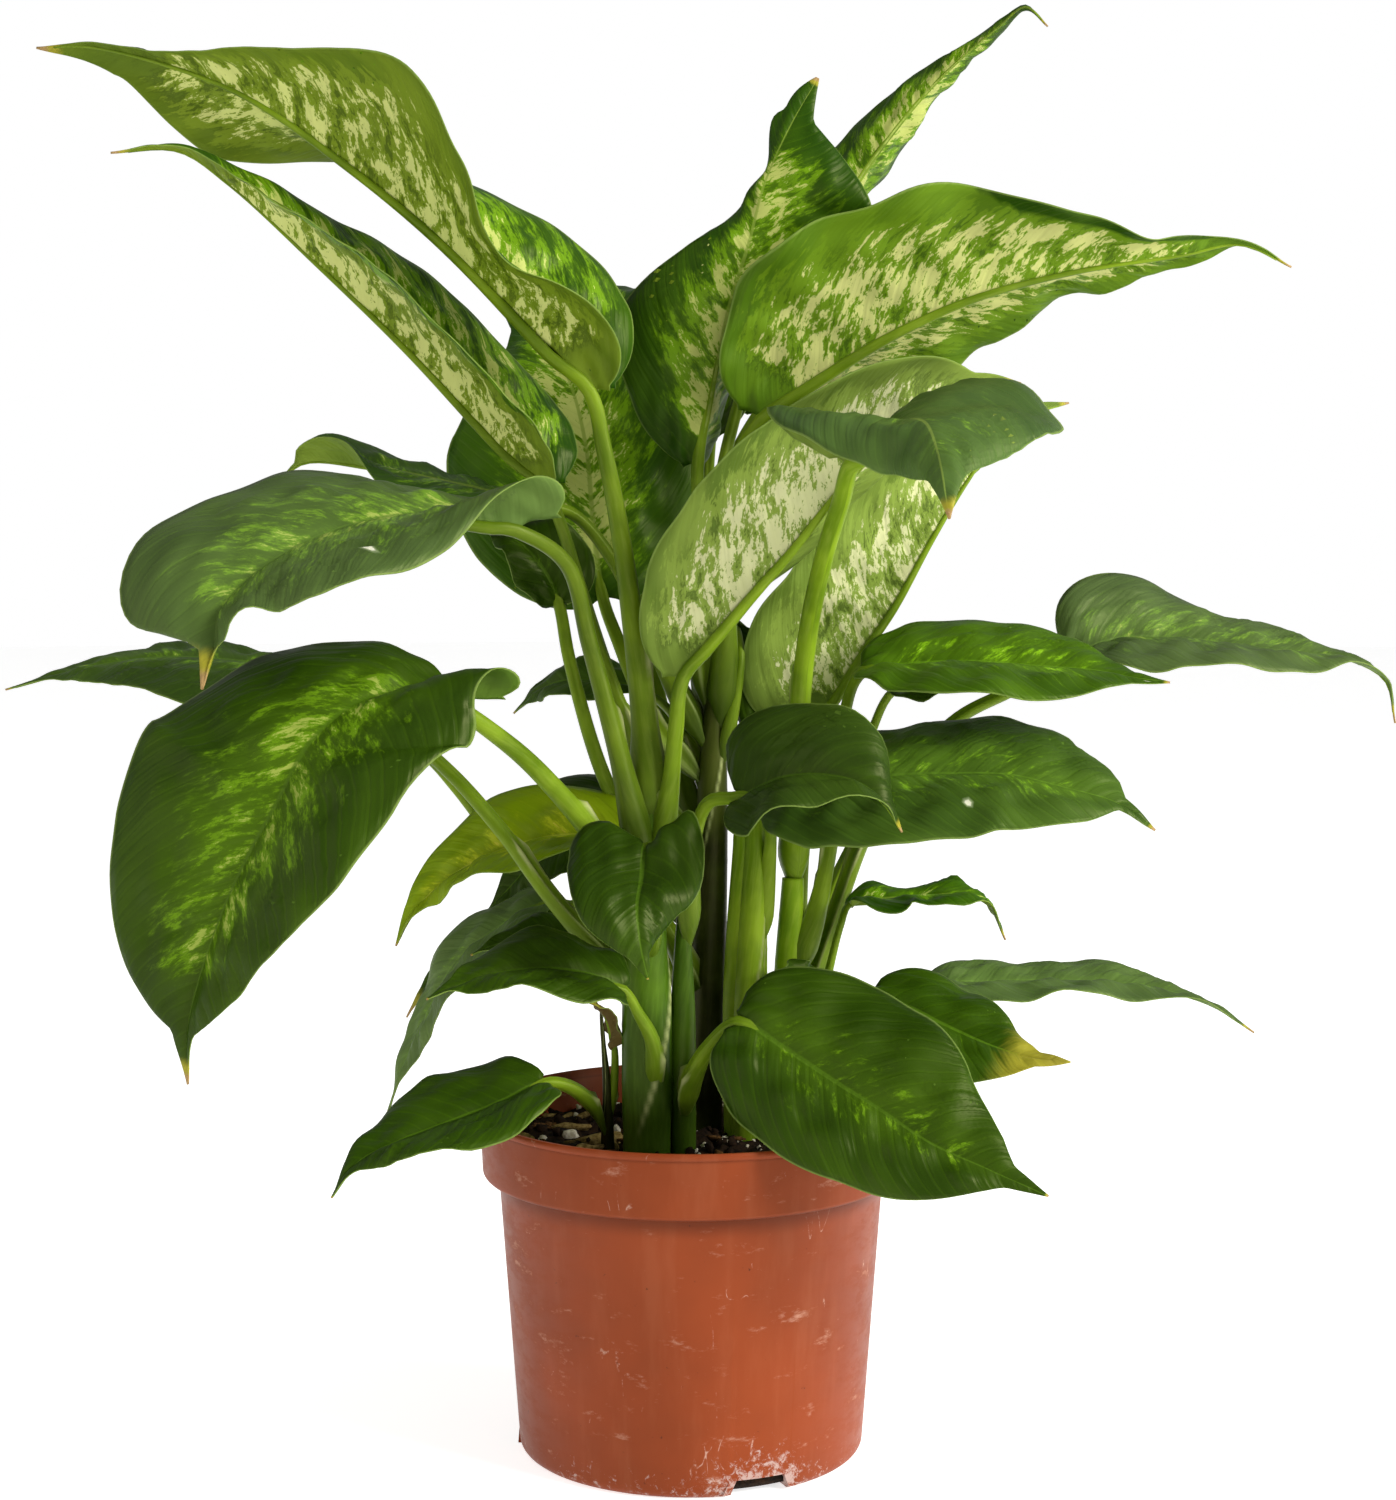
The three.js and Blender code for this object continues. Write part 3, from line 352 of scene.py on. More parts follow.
grow(
    "right_low", "right_far", look=(0.4, 0.5, 0.04), thick=(2, 1.2), grey=0.22, gain=1.5,
    stalk="28 10 93, 43 20 118, 56 25 125",
    rib="68 26 127, 85 28 127, 103 30 127.2, 120 30 126.7, 136 28 125, 150 24 121.2, 162 20 113.8",
    left="0 17 3",
    right="0 -15 -2",
)
grow(
    "small_left", "back", look=(0.25, 0.3, 0.03), thick=(1.6, 1.1), grey=0.06, gain=1.35,
    stalk="5 14 182, -4 23 204",
    rib="-15 32 212, -26 34 214, -37 36 214, -44 40 211, -52 44 204",
    left="0 -10 -4",
    right="0 10 6",
)
grow(
    "center_folded", "back", look=(0.3, 0.3, 0.03), thick=(1.6, 1.1),
    stalk="7 14 186, 12 12 208, 14 12 222",
    rib="13 19 230, 13 19 221, 14 18 212, 16 17 203, 18 16 196",
    left="8 4 2",
    right="-6 6 0",
)
grow(
    "small_curled", "right_thick", look=(0.3, 0.3, 0.03), thick=(1.2, 0.9),
    stalk="18 4 121, 31 4 126",
    rib="35 2 130, 31 -2 133, 26 -6 136, 23 -10 136",
    left="0 0 -5",
    right="2 2 5",
)
grow(
    "withered", "shoot", look=(0, 0.2, 0.3), thick=(0.9, 0.8), shade="dry",
    stalk="-23 -16 92, -21 -16 108",
    rib="-21 -18 118, -23 -20 126, -26 -22 130, -30 -24 132",
    left="2 -4 1",
    right="-2 4 1",
)
grow(
    "back_high", "back", look=(0.9, 0.8, 0.03), shade="bright",
    stalk="6 17 198, -1 34 242, -6 52 280",
    rib="-12 66 300, -22 84 316, -32 104 326, -40 124 328, -46 140 320",
    left="-26 -6 4",
    right="26 6 6",
)
grow(
    "back_top", "back", look=(0.8, 0.8, 0.04), thick=(2, 1.4),
    stalk="7 17 206, 5 29 240, 5 37 270",
    rib="6 38 285, 10 56 312, 15 74 334, 20 92 346, 24 108 346",
    left="-14 2 6",
    right="14 -2 6",
)
grow(
    "back_right_high", "back", look=(0.8, 0.7, 0.03), shade="bright",
    stalk="6 17 176, 3 32 226, 10 44 272",
    rib="20 54 292, 34 72 308, 50 92 318, 66 108 320, 78 124 312",
    left="-20 12 4",
    right="20 -12 6",
)
grow(
    "back_left_center", "back", look=(0.5, 0.5, 0.03),
    stalk="3 14 168, -9 36 208, -15 46 236",
    rib="-20 52 252, -26 74 266, -34 98 272, -42 120 268, -50 140 256",
    left="-25 -6 2",
    right="25 6 6",
)
grow(
    "back_center", "back", look=(0.4, 0.4, 0.02),
    stalk="6 15 168, 5 32 212, 7 40 234",
    rib="8 46 243, 9 66 252, 8 90 254, 6 112 248, 4 130 236",
    left="-20 0 3",
    right="20 0 5",
)
grow(
    "back_left", "back", look=(0.35, 0.4, 0.05),
    stalk="4 13 108, -28 40 134, -54 54 160, -70 60 180",
    rib="-80 64 190, -94 70 196, -108 78 190, -118 86 176, -124 96 158",
    left="-10 -18 4",
    right="12 18 -2",
)
grow(
    "back_right", "right_far", look=(0.3, 0.4, 0.03),
    stalk="28 12 100, 38 30 146, 50 42 170",
    rib="58 50 180, 74 64 190, 90 78 190, 104 90 182, 114 100 170",
    left="-13 16 5",
    right="13 -16 3",
)
grow(
    "back_left_low", "back", look=(0.25, 0.3, 0.02),
    stalk="4 14 104, -4 26 130, -10 36 150",
    rib="-14 44 160, -18 60 166, -22 78 166, -26 96 158, -30 112 144",
    left="-18 -4 3",
    right="18 4 4",
)
grow(
    "back_low", "back", look=(0.15, 0.3, 0.02), thick=(2, 1.4),
    stalk="4 14 90, 0 28 104, -2 40 112",
    rib="-3 48 114, -4 62 112, -5 76 104, -5 88 92, -5 98 78",
    left="-15 0 2",
    right="15 0 3",
)
grow(
    "back_low_right", "right_thick", look=(0.15, 0.3, 0.04), thick=(2, 1.4),
    stalk="17 6 92, 24 24 104, 32 36 110",
    rib="38 42 112, 49 56 112, 60 70 106, 68 84 96, 74 96 84",
    left="-12 10 3",
    right="12 -10 3",
)

# The shape of every blade, as in the solids.
TIP_SHARE = 0.1
DRIP_SHARE = 0.13
NECK = 0.14
WIDENING = 0.6
WAVE_HEIGHT = 1.2  # millimetres
WAVES = 2.5
ARCH = 0.1
VEIN_SLANT = 0.85
VEIN_BEND = 0.35
FINE_VEIN_GAP = 0.45  # centimetres
BITTEN = 3  # marks a bitten spot, in the number that holds the painted sheen on other leaves
SHEATH_END = 0.45  # of the stalk's length

# How far the stalks take the stem's darker colour at their foot.
FOOT_SHADE = dict(main=0.75, middle=0.6, back=0.95, right_thick=0, right_far=0, shoot=0.8)

# ---- Colours ----


def colour(code):
    """The linear colour of a six-figure code."""
    shares = [int(code[i : i + 2], 16) / 255 for i in (0, 2, 4)]
    return tuple(s / 12.92 if s <= 0.04045 else ((s + 0.055) / 1.055) ** 2.4 for s in shares)


def full(shade):
    return (*shade, 1.0)


# Each shade: the upper side's dark and light green, its cream and its midrib, then the underside's
# dark and light green and its cream.
SHADES = {
    "dark": ("2a4406", "6a9312", "a9ba50", "557818", "3f5e14", "5f7f26", "b8c270"),
    "bright": ("264a06", "719c12", "c8d070", "8ca53c", "566e14", "768c20", "ced280"),
    "vivid": ("264a06", "719c12", "c8d070", "8ca53c", "4f7410", "6f9418", "d6d884"),
    "pale": ("315209", "7f9e34", "d4d68e", "9cb05a", "5a7420", "869e3c", "dcdca4"),
    "yellow": ("667c04", "98a01c", "b6b03c", "a2a83c", "74860e", "98a02a", "bab456"),
    "dry": ("4a3c18", "77642e", "a08a52", "7d6a34", "5c4a22", "7d6a3c", "a3905e"),
}


def measure(name, description, millimetres):
    size = millimetres * MM
    return FloatProperty(name=name, description=description, default=size, unit="LENGTH")


def paint(name, description, code):
    return FloatVectorProperty(
        name=name, description=description, default=colour(code), subtype="COLOR", size=3,
        min=0, max=1,
    )


class PotSettings(bpy.types.PropertyGroup):
    height: measure("Height", "Floor to rim", 97)
    rim_radius: measure("Rim radius", "Outside radius at the rim", 60)
    rim_foot_radius: measure("Band radius", "Radius at the band's lower edge", 58.5)
    rim_depth: measure("Band depth", "Depth of the rim band", 18.5)
    shoulder_radius: measure("Shoulder radius", "Wall radius under the band", 53.9)
    base_radius: measure("Base radius", "Wall radius at the floor", 48.5)
    wall: measure("Wall", "Thickness of the wall", 1.3)
    sides: IntProperty(name="Sides", description="Facets round the pot", default=192, min=48)
    plastic: paint("Plastic", "Colour of the pot", "873a19")


class PlantSettings(bpy.types.PropertyGroup):
    thickness: measure("Blade thickness", "Thickness of a blade in its middle", 0.55)
    relief: measure("Vein relief", "Rise between the side veins", 0.36)
    buckle: measure("Buckle", "Height of the broad buckles of a blade", 2)
    vein_gap: measure("Vein gap", "Distance between two side veins", 9)
    crumbs: IntProperty(name="Crumbs", description="Loose crumbs on the soil", default=620, min=0)
    stalk: paint("Stalk", "Colour of the leaf stalks", "7a9618")
    stem: paint("Stem", "Colour of the stems", "42600a")


class StudioSettings(bpy.types.PropertyGroup):
    key: FloatProperty(name="Key", description="Main light at the right", default=66, unit="POWER")
    fill: FloatProperty(name="Fill", description="Soft light at the left", default=7, unit="POWER")
    sky: FloatProperty(name="Surround", description="Light of the surround", default=0.36, min=0)
    backdrop: FloatProperty(name="Backdrop", description="White behind it", default=1, min=0)


# ---- Curves ----


def smooth_list(points, t):
    """The value at each t of a list spread evenly from 0 to 1, on a smooth line through it."""
    p = np.array(points, float)
    if len(p) == 1:
        return np.repeat(p, len(t), 0)
    p = np.vstack([2 * p[0] - p[1], p, 2 * p[-1] - p[-2]])
    place = np.clip(t, 0, 1) * (len(p) - 3)
    i = np.minimum(place.astype(int), len(p) - 4)
    w = (place - i)[:, None]
    a, b, c, d = p[i], p[i + 1], p[i + 2], p[i + 3]
    return b + 0.5 * w * (c - a + w * (2 * a - 5 * b + 4 * c - d + w * (3 * b - 3 * c + d - a)))


def unit(vectors):
    return vectors / np.maximum(np.linalg.norm(vectors, axis=-1, keepdims=True), 1e-12)


def square(directions, tangents):
    """The directions with their part along the tangents taken out, at length 1."""
    along = np.sum(directions * tangents, -1, keepdims=True)
    return unit(directions - along * tangents)


def stacked(*values):
    """The values side by side as vectors, each spread out to the shape of all."""
    return np.stack(np.broadcast_arrays(*values), -1)


def angles(sides):
    """The angle of each side round a full turn."""
    return 2 * np.pi * np.arange(sides) / sides


def ease(value, low, high):
    """A soft step from 0 at low to 1 at high."""
    s = np.clip((value - low) / (high - low), 0, 1)
    return s * s * (3 - 2 * s)


class Line:
    """A smooth line through points in millimetres, measured by its length."""

    STEPS = 60

    def __init__(self, points):
        p = np.array(points, float) * MM
        self.count = len(p) - 1
        self.points = np.vstack([2 * p[0] - p[1], p, 2 * p[-1] - p[-2]])
        self.grid = np.linspace(0, 1, self.STEPS * self.count + 1)
        steps = np.linalg.norm(np.diff(self.raw(self.grid), axis=0), axis=1)
        self.lengths = np.concatenate([[0], np.cumsum(steps)])
        self.length = self.lengths[-1]

    def raw(self, t):
        place = np.clip(t, 0, 1) * self.count
        i = np.minimum(place.astype(int), self.count - 1)
        w = (place - i)[:, None]
        p0, p1, p2, p3 = (self.points[i + k] for k in range(4))
        g0, g1, g2 = (
            np.sqrt(np.linalg.norm(b - a, axis=1))[:, None]
            for a, b in ((p0, p1), (p1, p2), (p2, p3))
        )
        t1 = ((p1 - p0) / g0 - (p2 - p0) / (g0 + g1) + (p2 - p1) / g1) * g1
        t2 = ((p2 - p1) / g1 - (p3 - p1) / (g1 + g2) + (p3 - p2) / g2) * g1
        c2 = -3 * p1 + 3 * p2 - 2 * t1 - t2
        c3 = 2 * p1 - 2 * p2 + t1 + t2
        return p1 + w * (t1 + w * (c2 + w * c3))

    def share_at(self, point_index):
        """The share of the length at which the line passes a point."""
        return self.lengths[self.STEPS * point_index] / self.length

    def at(self, share):
        """Points and tangents at shares of the length."""
        t = np.interp(np.asarray(share) * self.length, self.lengths, self.grid)
        nudge = 1e-3
        ahead, behind = np.minimum(t + nudge, 1), np.maximum(t - nudge, 0)
        return self.raw(t), unit(self.raw(ahead) - self.raw(behind))


def carried(start, tangents):
    """The direction start, carried along tangents and kept square to them."""
    ups = [start]
    for tangent in tangents:
        ups.append(square(ups[-1], tangent))
    return np.array(ups[1:])


def lumps(points, size, seed):
    """Smooth bumps about size across, roughly from -1 to 1, at each point."""
    rng = np.random.default_rng(seed)
    total = np.zeros(len(points))
    for _ in range(10):
        direction = unit(rng.normal(size=3)) * 2 * np.pi / size * rng.uniform(0.6, 1.5)
        total += np.sin(points @ direction + rng.uniform(0, 2 * np.pi))
    return total / 3.2


# ---- Meshes ----


def grid_faces(rows, columns, around=False):
    """Quads of a grid of points, whose columns may close into a ring."""
    j, k = np.meshgrid(
        np.arange(rows - 1), np.arange(columns if around else columns - 1), indexing="ij"
    )
    a, b = j * columns + k, j * columns + (k + 1) % columns
    return stacked(a, b, b + columns, a + columns).reshape(-1, 4)


class Body:
    """The closed parts of one piece, gathered into one mesh with notes for its finish."""

    NOTES = ("leaf", "veins", "look", "tone")

    def __init__(self):
        self.points, self.faces, self.slots = [], [], []
        self.notes = {name: [] for name in self.NOTES}
        self.count = 0

    def add(self, points, faces, slot=0, **notes):
        points = np.asarray(points, float).reshape(-1, 3)
        lists = [list(map(int, f)) for f in faces]
        corners = np.array([[*f[:3], f[-1]] for f in lists])
        a, b, c, d = (points[corners[:, i]] - points.mean(0) for i in range(4))
        volume = np.sum(a * np.cross(b, c)) + np.sum(a * np.cross(c, d))
        if volume < 0:
            lists = [f[::-1] for f in lists]
        self.points.append(points)
        self.faces.extend([[i + self.count for i in f] for f in lists])
        self.slots.extend([slot] * len(lists))
        for name in self.NOTES:
            value = np.asarray(notes.get(name, (0, 0, 0)), float)
            self.notes[name].append(np.broadcast_to(value.reshape(-1, 3), points.shape))
        self.count += len(points)

    def tube(self, centres, ups, tangents, radii, slot=0, **notes):
        """A closed tube: radii holds one row for each ring and one column for each side."""
        rings, sides = radii.shape
        angle = angles(sides)
        right = np.cross(tangents, ups)
        around = (
            ups[:, None] * np.cos(angle)[None, :, None]
            + right[:, None] * np.sin(angle)[None, :, None]
        )
        points = centres[:, None] + around * radii[..., None]
        faces = grid_faces(rings, sides, True).tolist()
        faces += [list(range(sides))[::-1], list(range((rings - 1) * sides, rings * sides))]
        self.add(points, faces, slot, **notes)

    def make(self, name, materials):
        mesh = bpy.data.meshes.new(name)
        mesh.from_pydata(np.vstack(self.points), [], self.faces)
        for material in materials:
            mesh.materials.append(material)
        mesh.polygons.foreach_set("material_index", self.slots)
        for note, values in self.notes.items():
            attribute = mesh.attributes.new(note, "FLOAT_VECTOR", "POINT")
            attribute.data.foreach_set("vector", np.vstack(values).astype(np.float32).ravel())
        mesh.shade_smooth()
        mesh.validate()
        made = bpy.data.objects.new(name, mesh)
        bpy.context.scene.collection.objects.link(made)
        return made


def place(piece, slot, *nodes):
    """Sets a finished piece in the frame in the stead of its nodes."""
    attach(piece, "root")
    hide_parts(*nodes)


# ---- Finishes ----


class Finish:
    """The shader nodes of one material, joined by short calls."""

    def __init__(self, name):
        self.material = bpy.data.materials.new(name)
        self.material.use_nodes = True
        self.tree = self.material.node_tree
        self.tree.nodes.clear()

    def node(self, kind, inputs=(), **settings):
        made = self.tree.nodes.new("ShaderNode" + kind)
        for key, value in settings.items():
            setattr(made, key, value)
        for key, value in dict(inputs).items():
            self.feed(made.inputs[key], value)
        return made

    def feed(self, socket, value):
        if isinstance(value, bpy.types.NodeSocket):
            self.tree.links.new(value, socket)
        else:
            socket.default_value = value

    def calc(self, operation, a, b=0, c=0):
        return self.node("Math", {0: a, 1: b, 2: c}, operation=operation).outputs[0]

    def plus(self, a, b):
        return self.calc("ADD", a, b)

    def times(self, a, b):
        return self.calc("MULTIPLY", a, b)

    def step(self, value, low, high, start=0, end=1):
        """A soft step of the value from start at low to end at high."""
        inputs = {"Value": value, "From Min": low, "From Max": high, "To Min": start, "To Max": end}
        return self.node("MapRange", inputs, interpolation_type="SMOOTHSTEP").outputs[0]

    def mix(self, share, a, b, blend="MIX"):
        """The shade a with a share of b over it; a shade may be given by its code."""
        made = self.node("Mix", data_type="RGBA", blend_type=blend)
        for i, value in ((0, share), (6, a), (7, b)):
            value = colour(value) if isinstance(value, str) else value
            self.feed(made.inputs[i], full(value) if isinstance(value, tuple) else value)
        return made.outputs[2]

    def coats(self, skin, *coats):
        """The skin under coats, each a share and a shade, from the first up."""
        for share, shade in coats:
            skin = self.mix(share, skin, shade)
        return skin

    def brighten(self, skin, gain):
        return self.mix(1, skin, self.spot(gain, gain, gain), "MULTIPLY")

    def note(self, name):
        made = self.node("Attribute", attribute_name=name).outputs["Vector"]
        return self.node("SeparateXYZ", {0: made}).outputs

    def spot(self, x, y, z=0):
        return self.node("CombineXYZ", {0: x, 1: y, 2: z}).outputs[0]

    def noise(self, vector, scale, detail=2, roughness=0.5, distortion=0):
        inputs = {
            "Vector": vector, "Scale": scale, "Detail": detail, "Roughness": roughness,
            "Distortion": distortion,
        }
        return self.node("TexNoise", inputs).outputs[0]

    def solid(
        self, shade, roughness, relief=None, shine=0.5, tint=(1, 1, 1), thin=0, through=None,
        **sockets,
    ):
        """Ends the material in a plain surface, or in one that lets some light through.

        relief: the height of its bumps, how strong they show and how high they are.
        """
        inputs = {
            "Base Color": shade, "Roughness": roughness, "Specular IOR Level": shine,
            "Specular Tint": full(tint), **sockets,
        }
        if relief:
            bumps = dict(zip(("Height", "Strength", "Distance"), relief))
            inputs["Normal"] = self.node("Bump", bumps).outputs[0]
        surface = self.node("BsdfPrincipled", inputs).outputs[0]
        if thin:
            passed = self.mix(1, shade, through, "MULTIPLY")
            glow = self.node("BsdfTranslucent", {"Color": passed}).outputs[0]
            surface = self.node("MixShader", {0: thin, 1: surface, 2: glow}).outputs[0]
        self.node("OutputMaterial", {0: surface})
        return self.material


LEAF_SHEEN = (1, 1, 0.45)


def leaf_finish(shade):
    """Both sides of a blade: green, feathered with light green and cream along the veins."""
    dark, light, cream, rib, under_dark, under_light, under_cream = map(colour, SHADES[shade])
    soft = 0.09 if shade == "dark" else 0.05
    half_light = tuple(0.55 * a + 0.45 * b for a, b in zip(dark, light))
    under_deep = tuple(0.6 * a for a in under_dark)
    f = Finish("leaf_" + shade)
    along, across, side = f.note("leaf")
    vein, reach, seed = f.note("veins")
    lightness, tip, creaminess = f.note("look")
    # The tone: how much greyish sheen is painted on (or a bitten spot's mark), the gain, the reach.
    sheen_and_bites, gain, wide = f.note("tone")
    margin = f.calc("ABSOLUTE", across)
    distance = f.calc("ABSOLUTE", reach)
    ends = f.times(f.step(along, 0, 0.1), f.step(along, 0.72, 0.96, 1, 0))

    # Patches drawn out along the side veins.
    def pattern(across_veins, along_veins, turn, detail):
        """Ragged noise, spread out over 0 to 1, finer across the veins than along them."""
        u = f.times(vein, across_veins)
        v = f.times(f.calc("MULTIPLY_ADD", side, 0.35, 1.15), reach)
        v = f.times(v, along_veins)
        cloud = f.noise(f.spot(u, v, f.plus(seed, turn)), 1, detail, 0.72, 0.3)
        return f.calc("MULTIPLY_ADD", cloud, 2.5, -0.75)

    big = pattern(1.7, 0.95, 0, 7)
    small = pattern(6, 2.6, 4, 4)
    ragged = f.plus(f.times(big, 0.7), f.times(small, 0.3))
    streak = f.noise(f.spot(f.times(vein, 5), reach, seed), 1.3, 5, 0.6)
    broad = f.noise(f.spot(vein, reach, f.plus(seed, 9)), 0.4)
    shore = f.calc("DIVIDE", margin, f.mix(side, f.spot(wide, wide, wide), (1.1, 1.1, 1.1)))

    def patches(amount, inner, outer, least, most, softness):
        """Where the noise passes a bar that rises from the midrib out to the margin."""
        near = f.times(f.step(shore, inner, outer, 1, 0), ends)
        level = f.times(near, f.calc("POWER", amount, 0.6))
        bar = f.calc("MULTIPLY_ADD", level, most - least, least)
        return f.step(f.calc("SUBTRACT", ragged, bar), 0, softness)

    width = f.step(along, 0, 1, 0.1, 0.02)
    line = f.step(f.calc("DIVIDE", distance, width), 0.5, 1, 1, 0)
    ridge = f.calc("COSINE", f.times(vein, 2 * math.pi / FINE_VEIN_GAP))
    glow = f.times(f.step(margin, 0, 0.6, 0.4, 0), f.times(lightness, ends))
    upper = f.coats(
        f.mix(f.step(broad, 0.35, 0.7, 0, 0.16), dark, light),
        (f.times(glow, f.step(broad, 0.2, 0.7, 0.4, 1)), light),
        (patches(lightness, 0.1, 1.1, 1, 0.2, 0.2), half_light),
        (patches(lightness, 0.1, 1, 1.12, 0.34, soft + 0.03), light),
        (patches(lightness, 0.05, 0.85, 1.3, 0.46, soft), cream),
        (f.step(ridge, 0.8, 1, 0, 0.07), light),
        (f.times(line, 0.7), rib),
    )
    lower = f.coats(
        f.mix(f.step(broad, 0.3, 0.7), under_dark, under_light),
        (patches(creaminess, 0.5, 1, 0.9, 0, 0.35), under_deep),
        (patches(creaminess, 0.55, 1.1, 1.02, 0.24, 0.14), under_light),
        (patches(creaminess, 0.45, 1, 1.15, 0.48, 0.045), under_cream),
        (f.times(line, 0.55), under_light),
    )

    skin = f.mix(side, upper, lower)
    skin = f.mix(0.22, skin, f.mix(streak, (0.4, 0.4, 0.4), (1, 1, 1)), "MULTIPLY")
    # A greyish sheen painted over the greens, stronger in broad patches.
    skin = f.mix(f.times(sheen_and_bites, f.step(broad, 0.2, 0.6, 0.6, 1)), skin, "7c8862")
    dried = f.calc("DIVIDE", f.calc("SUBTRACT", along, 1), tip)
    dried = f.plus(dried, f.times(f.calc("SUBTRACT", streak, 0.5), 0.5))
    slender = f.step(tip, 0.2, 0.28, 1, 0.12)
    skin = f.coats(
        f.brighten(skin, gain),
        (f.step(sheen_and_bites, 1.2, 1.8), "f0ecd8"),
        (f.step(margin, 0.975, 0.995, 0, 0.6), "8ea650"),
        (f.step(dried, -1.2, -0.7), "a8a032"),
        (f.times(f.step(dried, -0.6, -0.3), slender), "b0905e"),
    )

    fine = f.noise(f.spot(f.times(vein, 2.2), reach, seed), 14, 3, 0.6)
    pressed = f.step(ridge, 0.4, 1, 0, 0.75)
    quilt = f.noise(f.spot(f.times(vein, 2.4), f.times(reach, 0.6), seed), 1)
    height = f.plus(f.plus(f.times(streak, 0.35), f.times(fine, 0.15)), f.times(quilt, 8))
    height = f.calc("SUBTRACT", height, pressed)
    roughness = f.plus(f.step(broad, 0.3, 0.7, 0.36, 0.48), f.times(side, 0.12))
    relief = (height, 0.35, 0.25 * MM)
    return f.solid(skin, roughness, relief, 0.22, LEAF_SHEEN, 0.25, (1, 1.15, 0.45))


def stalk_finish(name, shade, dark, pale):
    """A stalk or stem: fine lengthwise streaks, darker towards its foot, pale papery edges."""
    f = Finish(name)
    along, _, edge = f.note("leaf")
    length, girth, seed = f.note("veins")
    foot, gain, _ = f.note("tone")
    fibres = f.noise(f.spot(f.times(length, 0.12), girth, seed), 9, 5, 0.6)
    broad = f.noise(f.spot(length, girth, seed), 0.5, 3)
    specks = f.noise(f.spot(length, girth, seed), 11, 3, 0.7)
    skin = f.coats(
        f.mix(f.step(broad, 0.3, 0.7), dark, shade),
        (f.step(fibres, 0.4, 0.75, 0, 0.2), pale),
        (edge, "a9b070"),
        (f.times(foot, f.step(along, -1, -0.5, 1, 0)), "33480c"),
    )
    skin = f.mix(f.step(specks, 0.68, 0.74, 0, 0.4), f.brighten(skin, gain), "8a7a3a")
    roughness = f.step(broad, 0.3, 0.7, 0.36, 0.48)
    relief = (fibres, 0.25, 0.2 * MM)
    return f.solid(skin, roughness, relief, 0.25, LEAF_SHEEN, 0.12, (1, 1.1, 0.5))


def pot_finish(shade):
    """Reddish moulded plastic, scuffed, with lime near its foot, and painted shade under its lip
    and band.
    """
    f = Finish("pot_plastic")
    where = f.node("TexCoord").outputs["Object"]
    x, y, z = f.node("SeparateXYZ", {0: where}).outputs

    def drawn(stretch, *noise):
        """Noise drawn out up the wall, or round it where the stretch is above 1."""
        return f.noise(f.spot(x, y, f.times(z, stretch)), *noise)

    def near(value, middle, reach, start):
        """A soft share that is start at the middle and has faded out at the reach."""
        return f.step(f.calc("ABSOLUTE", f.calc("SUBTRACT", value, middle)), 0, reach, start, 0)

    turn = math.radians(FEET["first"])
    notch = (NOTCH_OUT * math.cos(turn), NOTCH_OUT * math.sin(turn), 4 * MM)
    away = f.node("VectorMath", {0: where, 1: notch}, operation="DISTANCE").outputs["Value"]
    foot = f.plus(f.step(z, 0, 14 * MM, 0.12, 0), f.step(away, 6 * MM, 20 * MM, 0.13, 0))
    streaks = drawn(0.15, 160, 4, 0.6)
    scuff = drawn(2.6, 75, 8, 0.72)
    rubbed = f.step(f.noise(f.spot(x, y, z), 60, 6, 0.75), 0.57, 0.64, 0, 0.5)
    lime = f.plus(f.noise(where, 420, 7, 0.8, 0.5), foot)
    # Painted shade on the wall just under the rim band, where the band overhangs it.
    under_band_shade = f.step(z, 72 * MM, 77.5 * MM)
    skin = f.coats(
        f.mix(f.step(f.noise(where, 28, 3), 0.3, 0.7), tuple(0.8 * c for c in shade), shade),
        (f.step(streaks, 0.45, 0.75, 0, 0.05), "c98a66"),
        (f.step(scuff, 0.58, 0.74, 0, 0.45), "d0a48c"),
        (f.times(near(drawn(0.3, 90, 2, 0.5, 0.3), 0.5, 0.006, 1), rubbed), "d8b6a2"),
        # Painted shade in the groove under the rim's lip.
        (near(z, LIP_SHADE_HEIGHT, 0.6 * MM, 0.35), "5a2410"),
        (f.step(lime, 0.66, 0.76, 0, 0.5), "cdc0b8"),
        (f.step(f.noise(where, 310, 4, 0.75), 0.69, 0.73, 0, 0.8), "3a1d12"),
        # Painted shade under the rim band.
        (f.times(under_band_shade, f.step(z, 78.5 * MM, 79.5 * MM, 0.6, 0)), "4c1c0c"),
    )
    height = f.plus(f.times(f.noise(where, 900, 3, 0.6), 0.3), streaks)
    roughness = f.step(scuff, 0.4, 0.75, 0.42, 0.62)
    return f.solid(skin, roughness, (height, 0.12, 0.2 * MM), 0.2, (1, 0.75, 0.55))


def crumb_finish(name, dark, light, scale=400):
    f = Finish(name)
    grain = f.noise(f.node("TexCoord").outputs["Object"], scale, 6, 0.7)
    skin = f.mix(f.step(grain, 0.35, 0.65), dark, light)
    return f.solid(skin, 0.9, (grain, 0.8, 0.5 * MM), 0.1)


# ---- Leaf ----


def fullness(taper, t):
    """The blade's width at t from base to tip, of its greatest width."""
    peak = WIDENING / (WIDENING + taper)
    s = np.minimum(t / (1 - TIP_SHARE), 1)
    body = (s / peak) ** WIDENING * ((1 - s) / (1 - peak)) ** taper
    tail = NECK * np.minimum(1, (1 - t) / DRIP_SHARE) + 0.01
    return (body**6 + tail**6) ** (1 / 6)


def half_at(leaf, tangents, t, side):
    """One half of the blade: its reach, square to the midrib, and its upward normal."""
    arrow = smooth_list(leaf["left" if side < 0 else "right"], t) * MM
    width = np.linalg.norm(arrow, axis=1) * fullness(leaf["taper"], t)
    direction = square(arrow, tangents)
    normal = unit(np.cross(tangents, direction) * -side)
    return direction * width[:, None], normal


def up_between(leaf, tangents, t):
    """The upward direction between the two halves of the blade."""
    normals = (half_at(leaf, tangents, t, side)[1] for side in (-1, 1))
    return square(sum(normals), tangents)


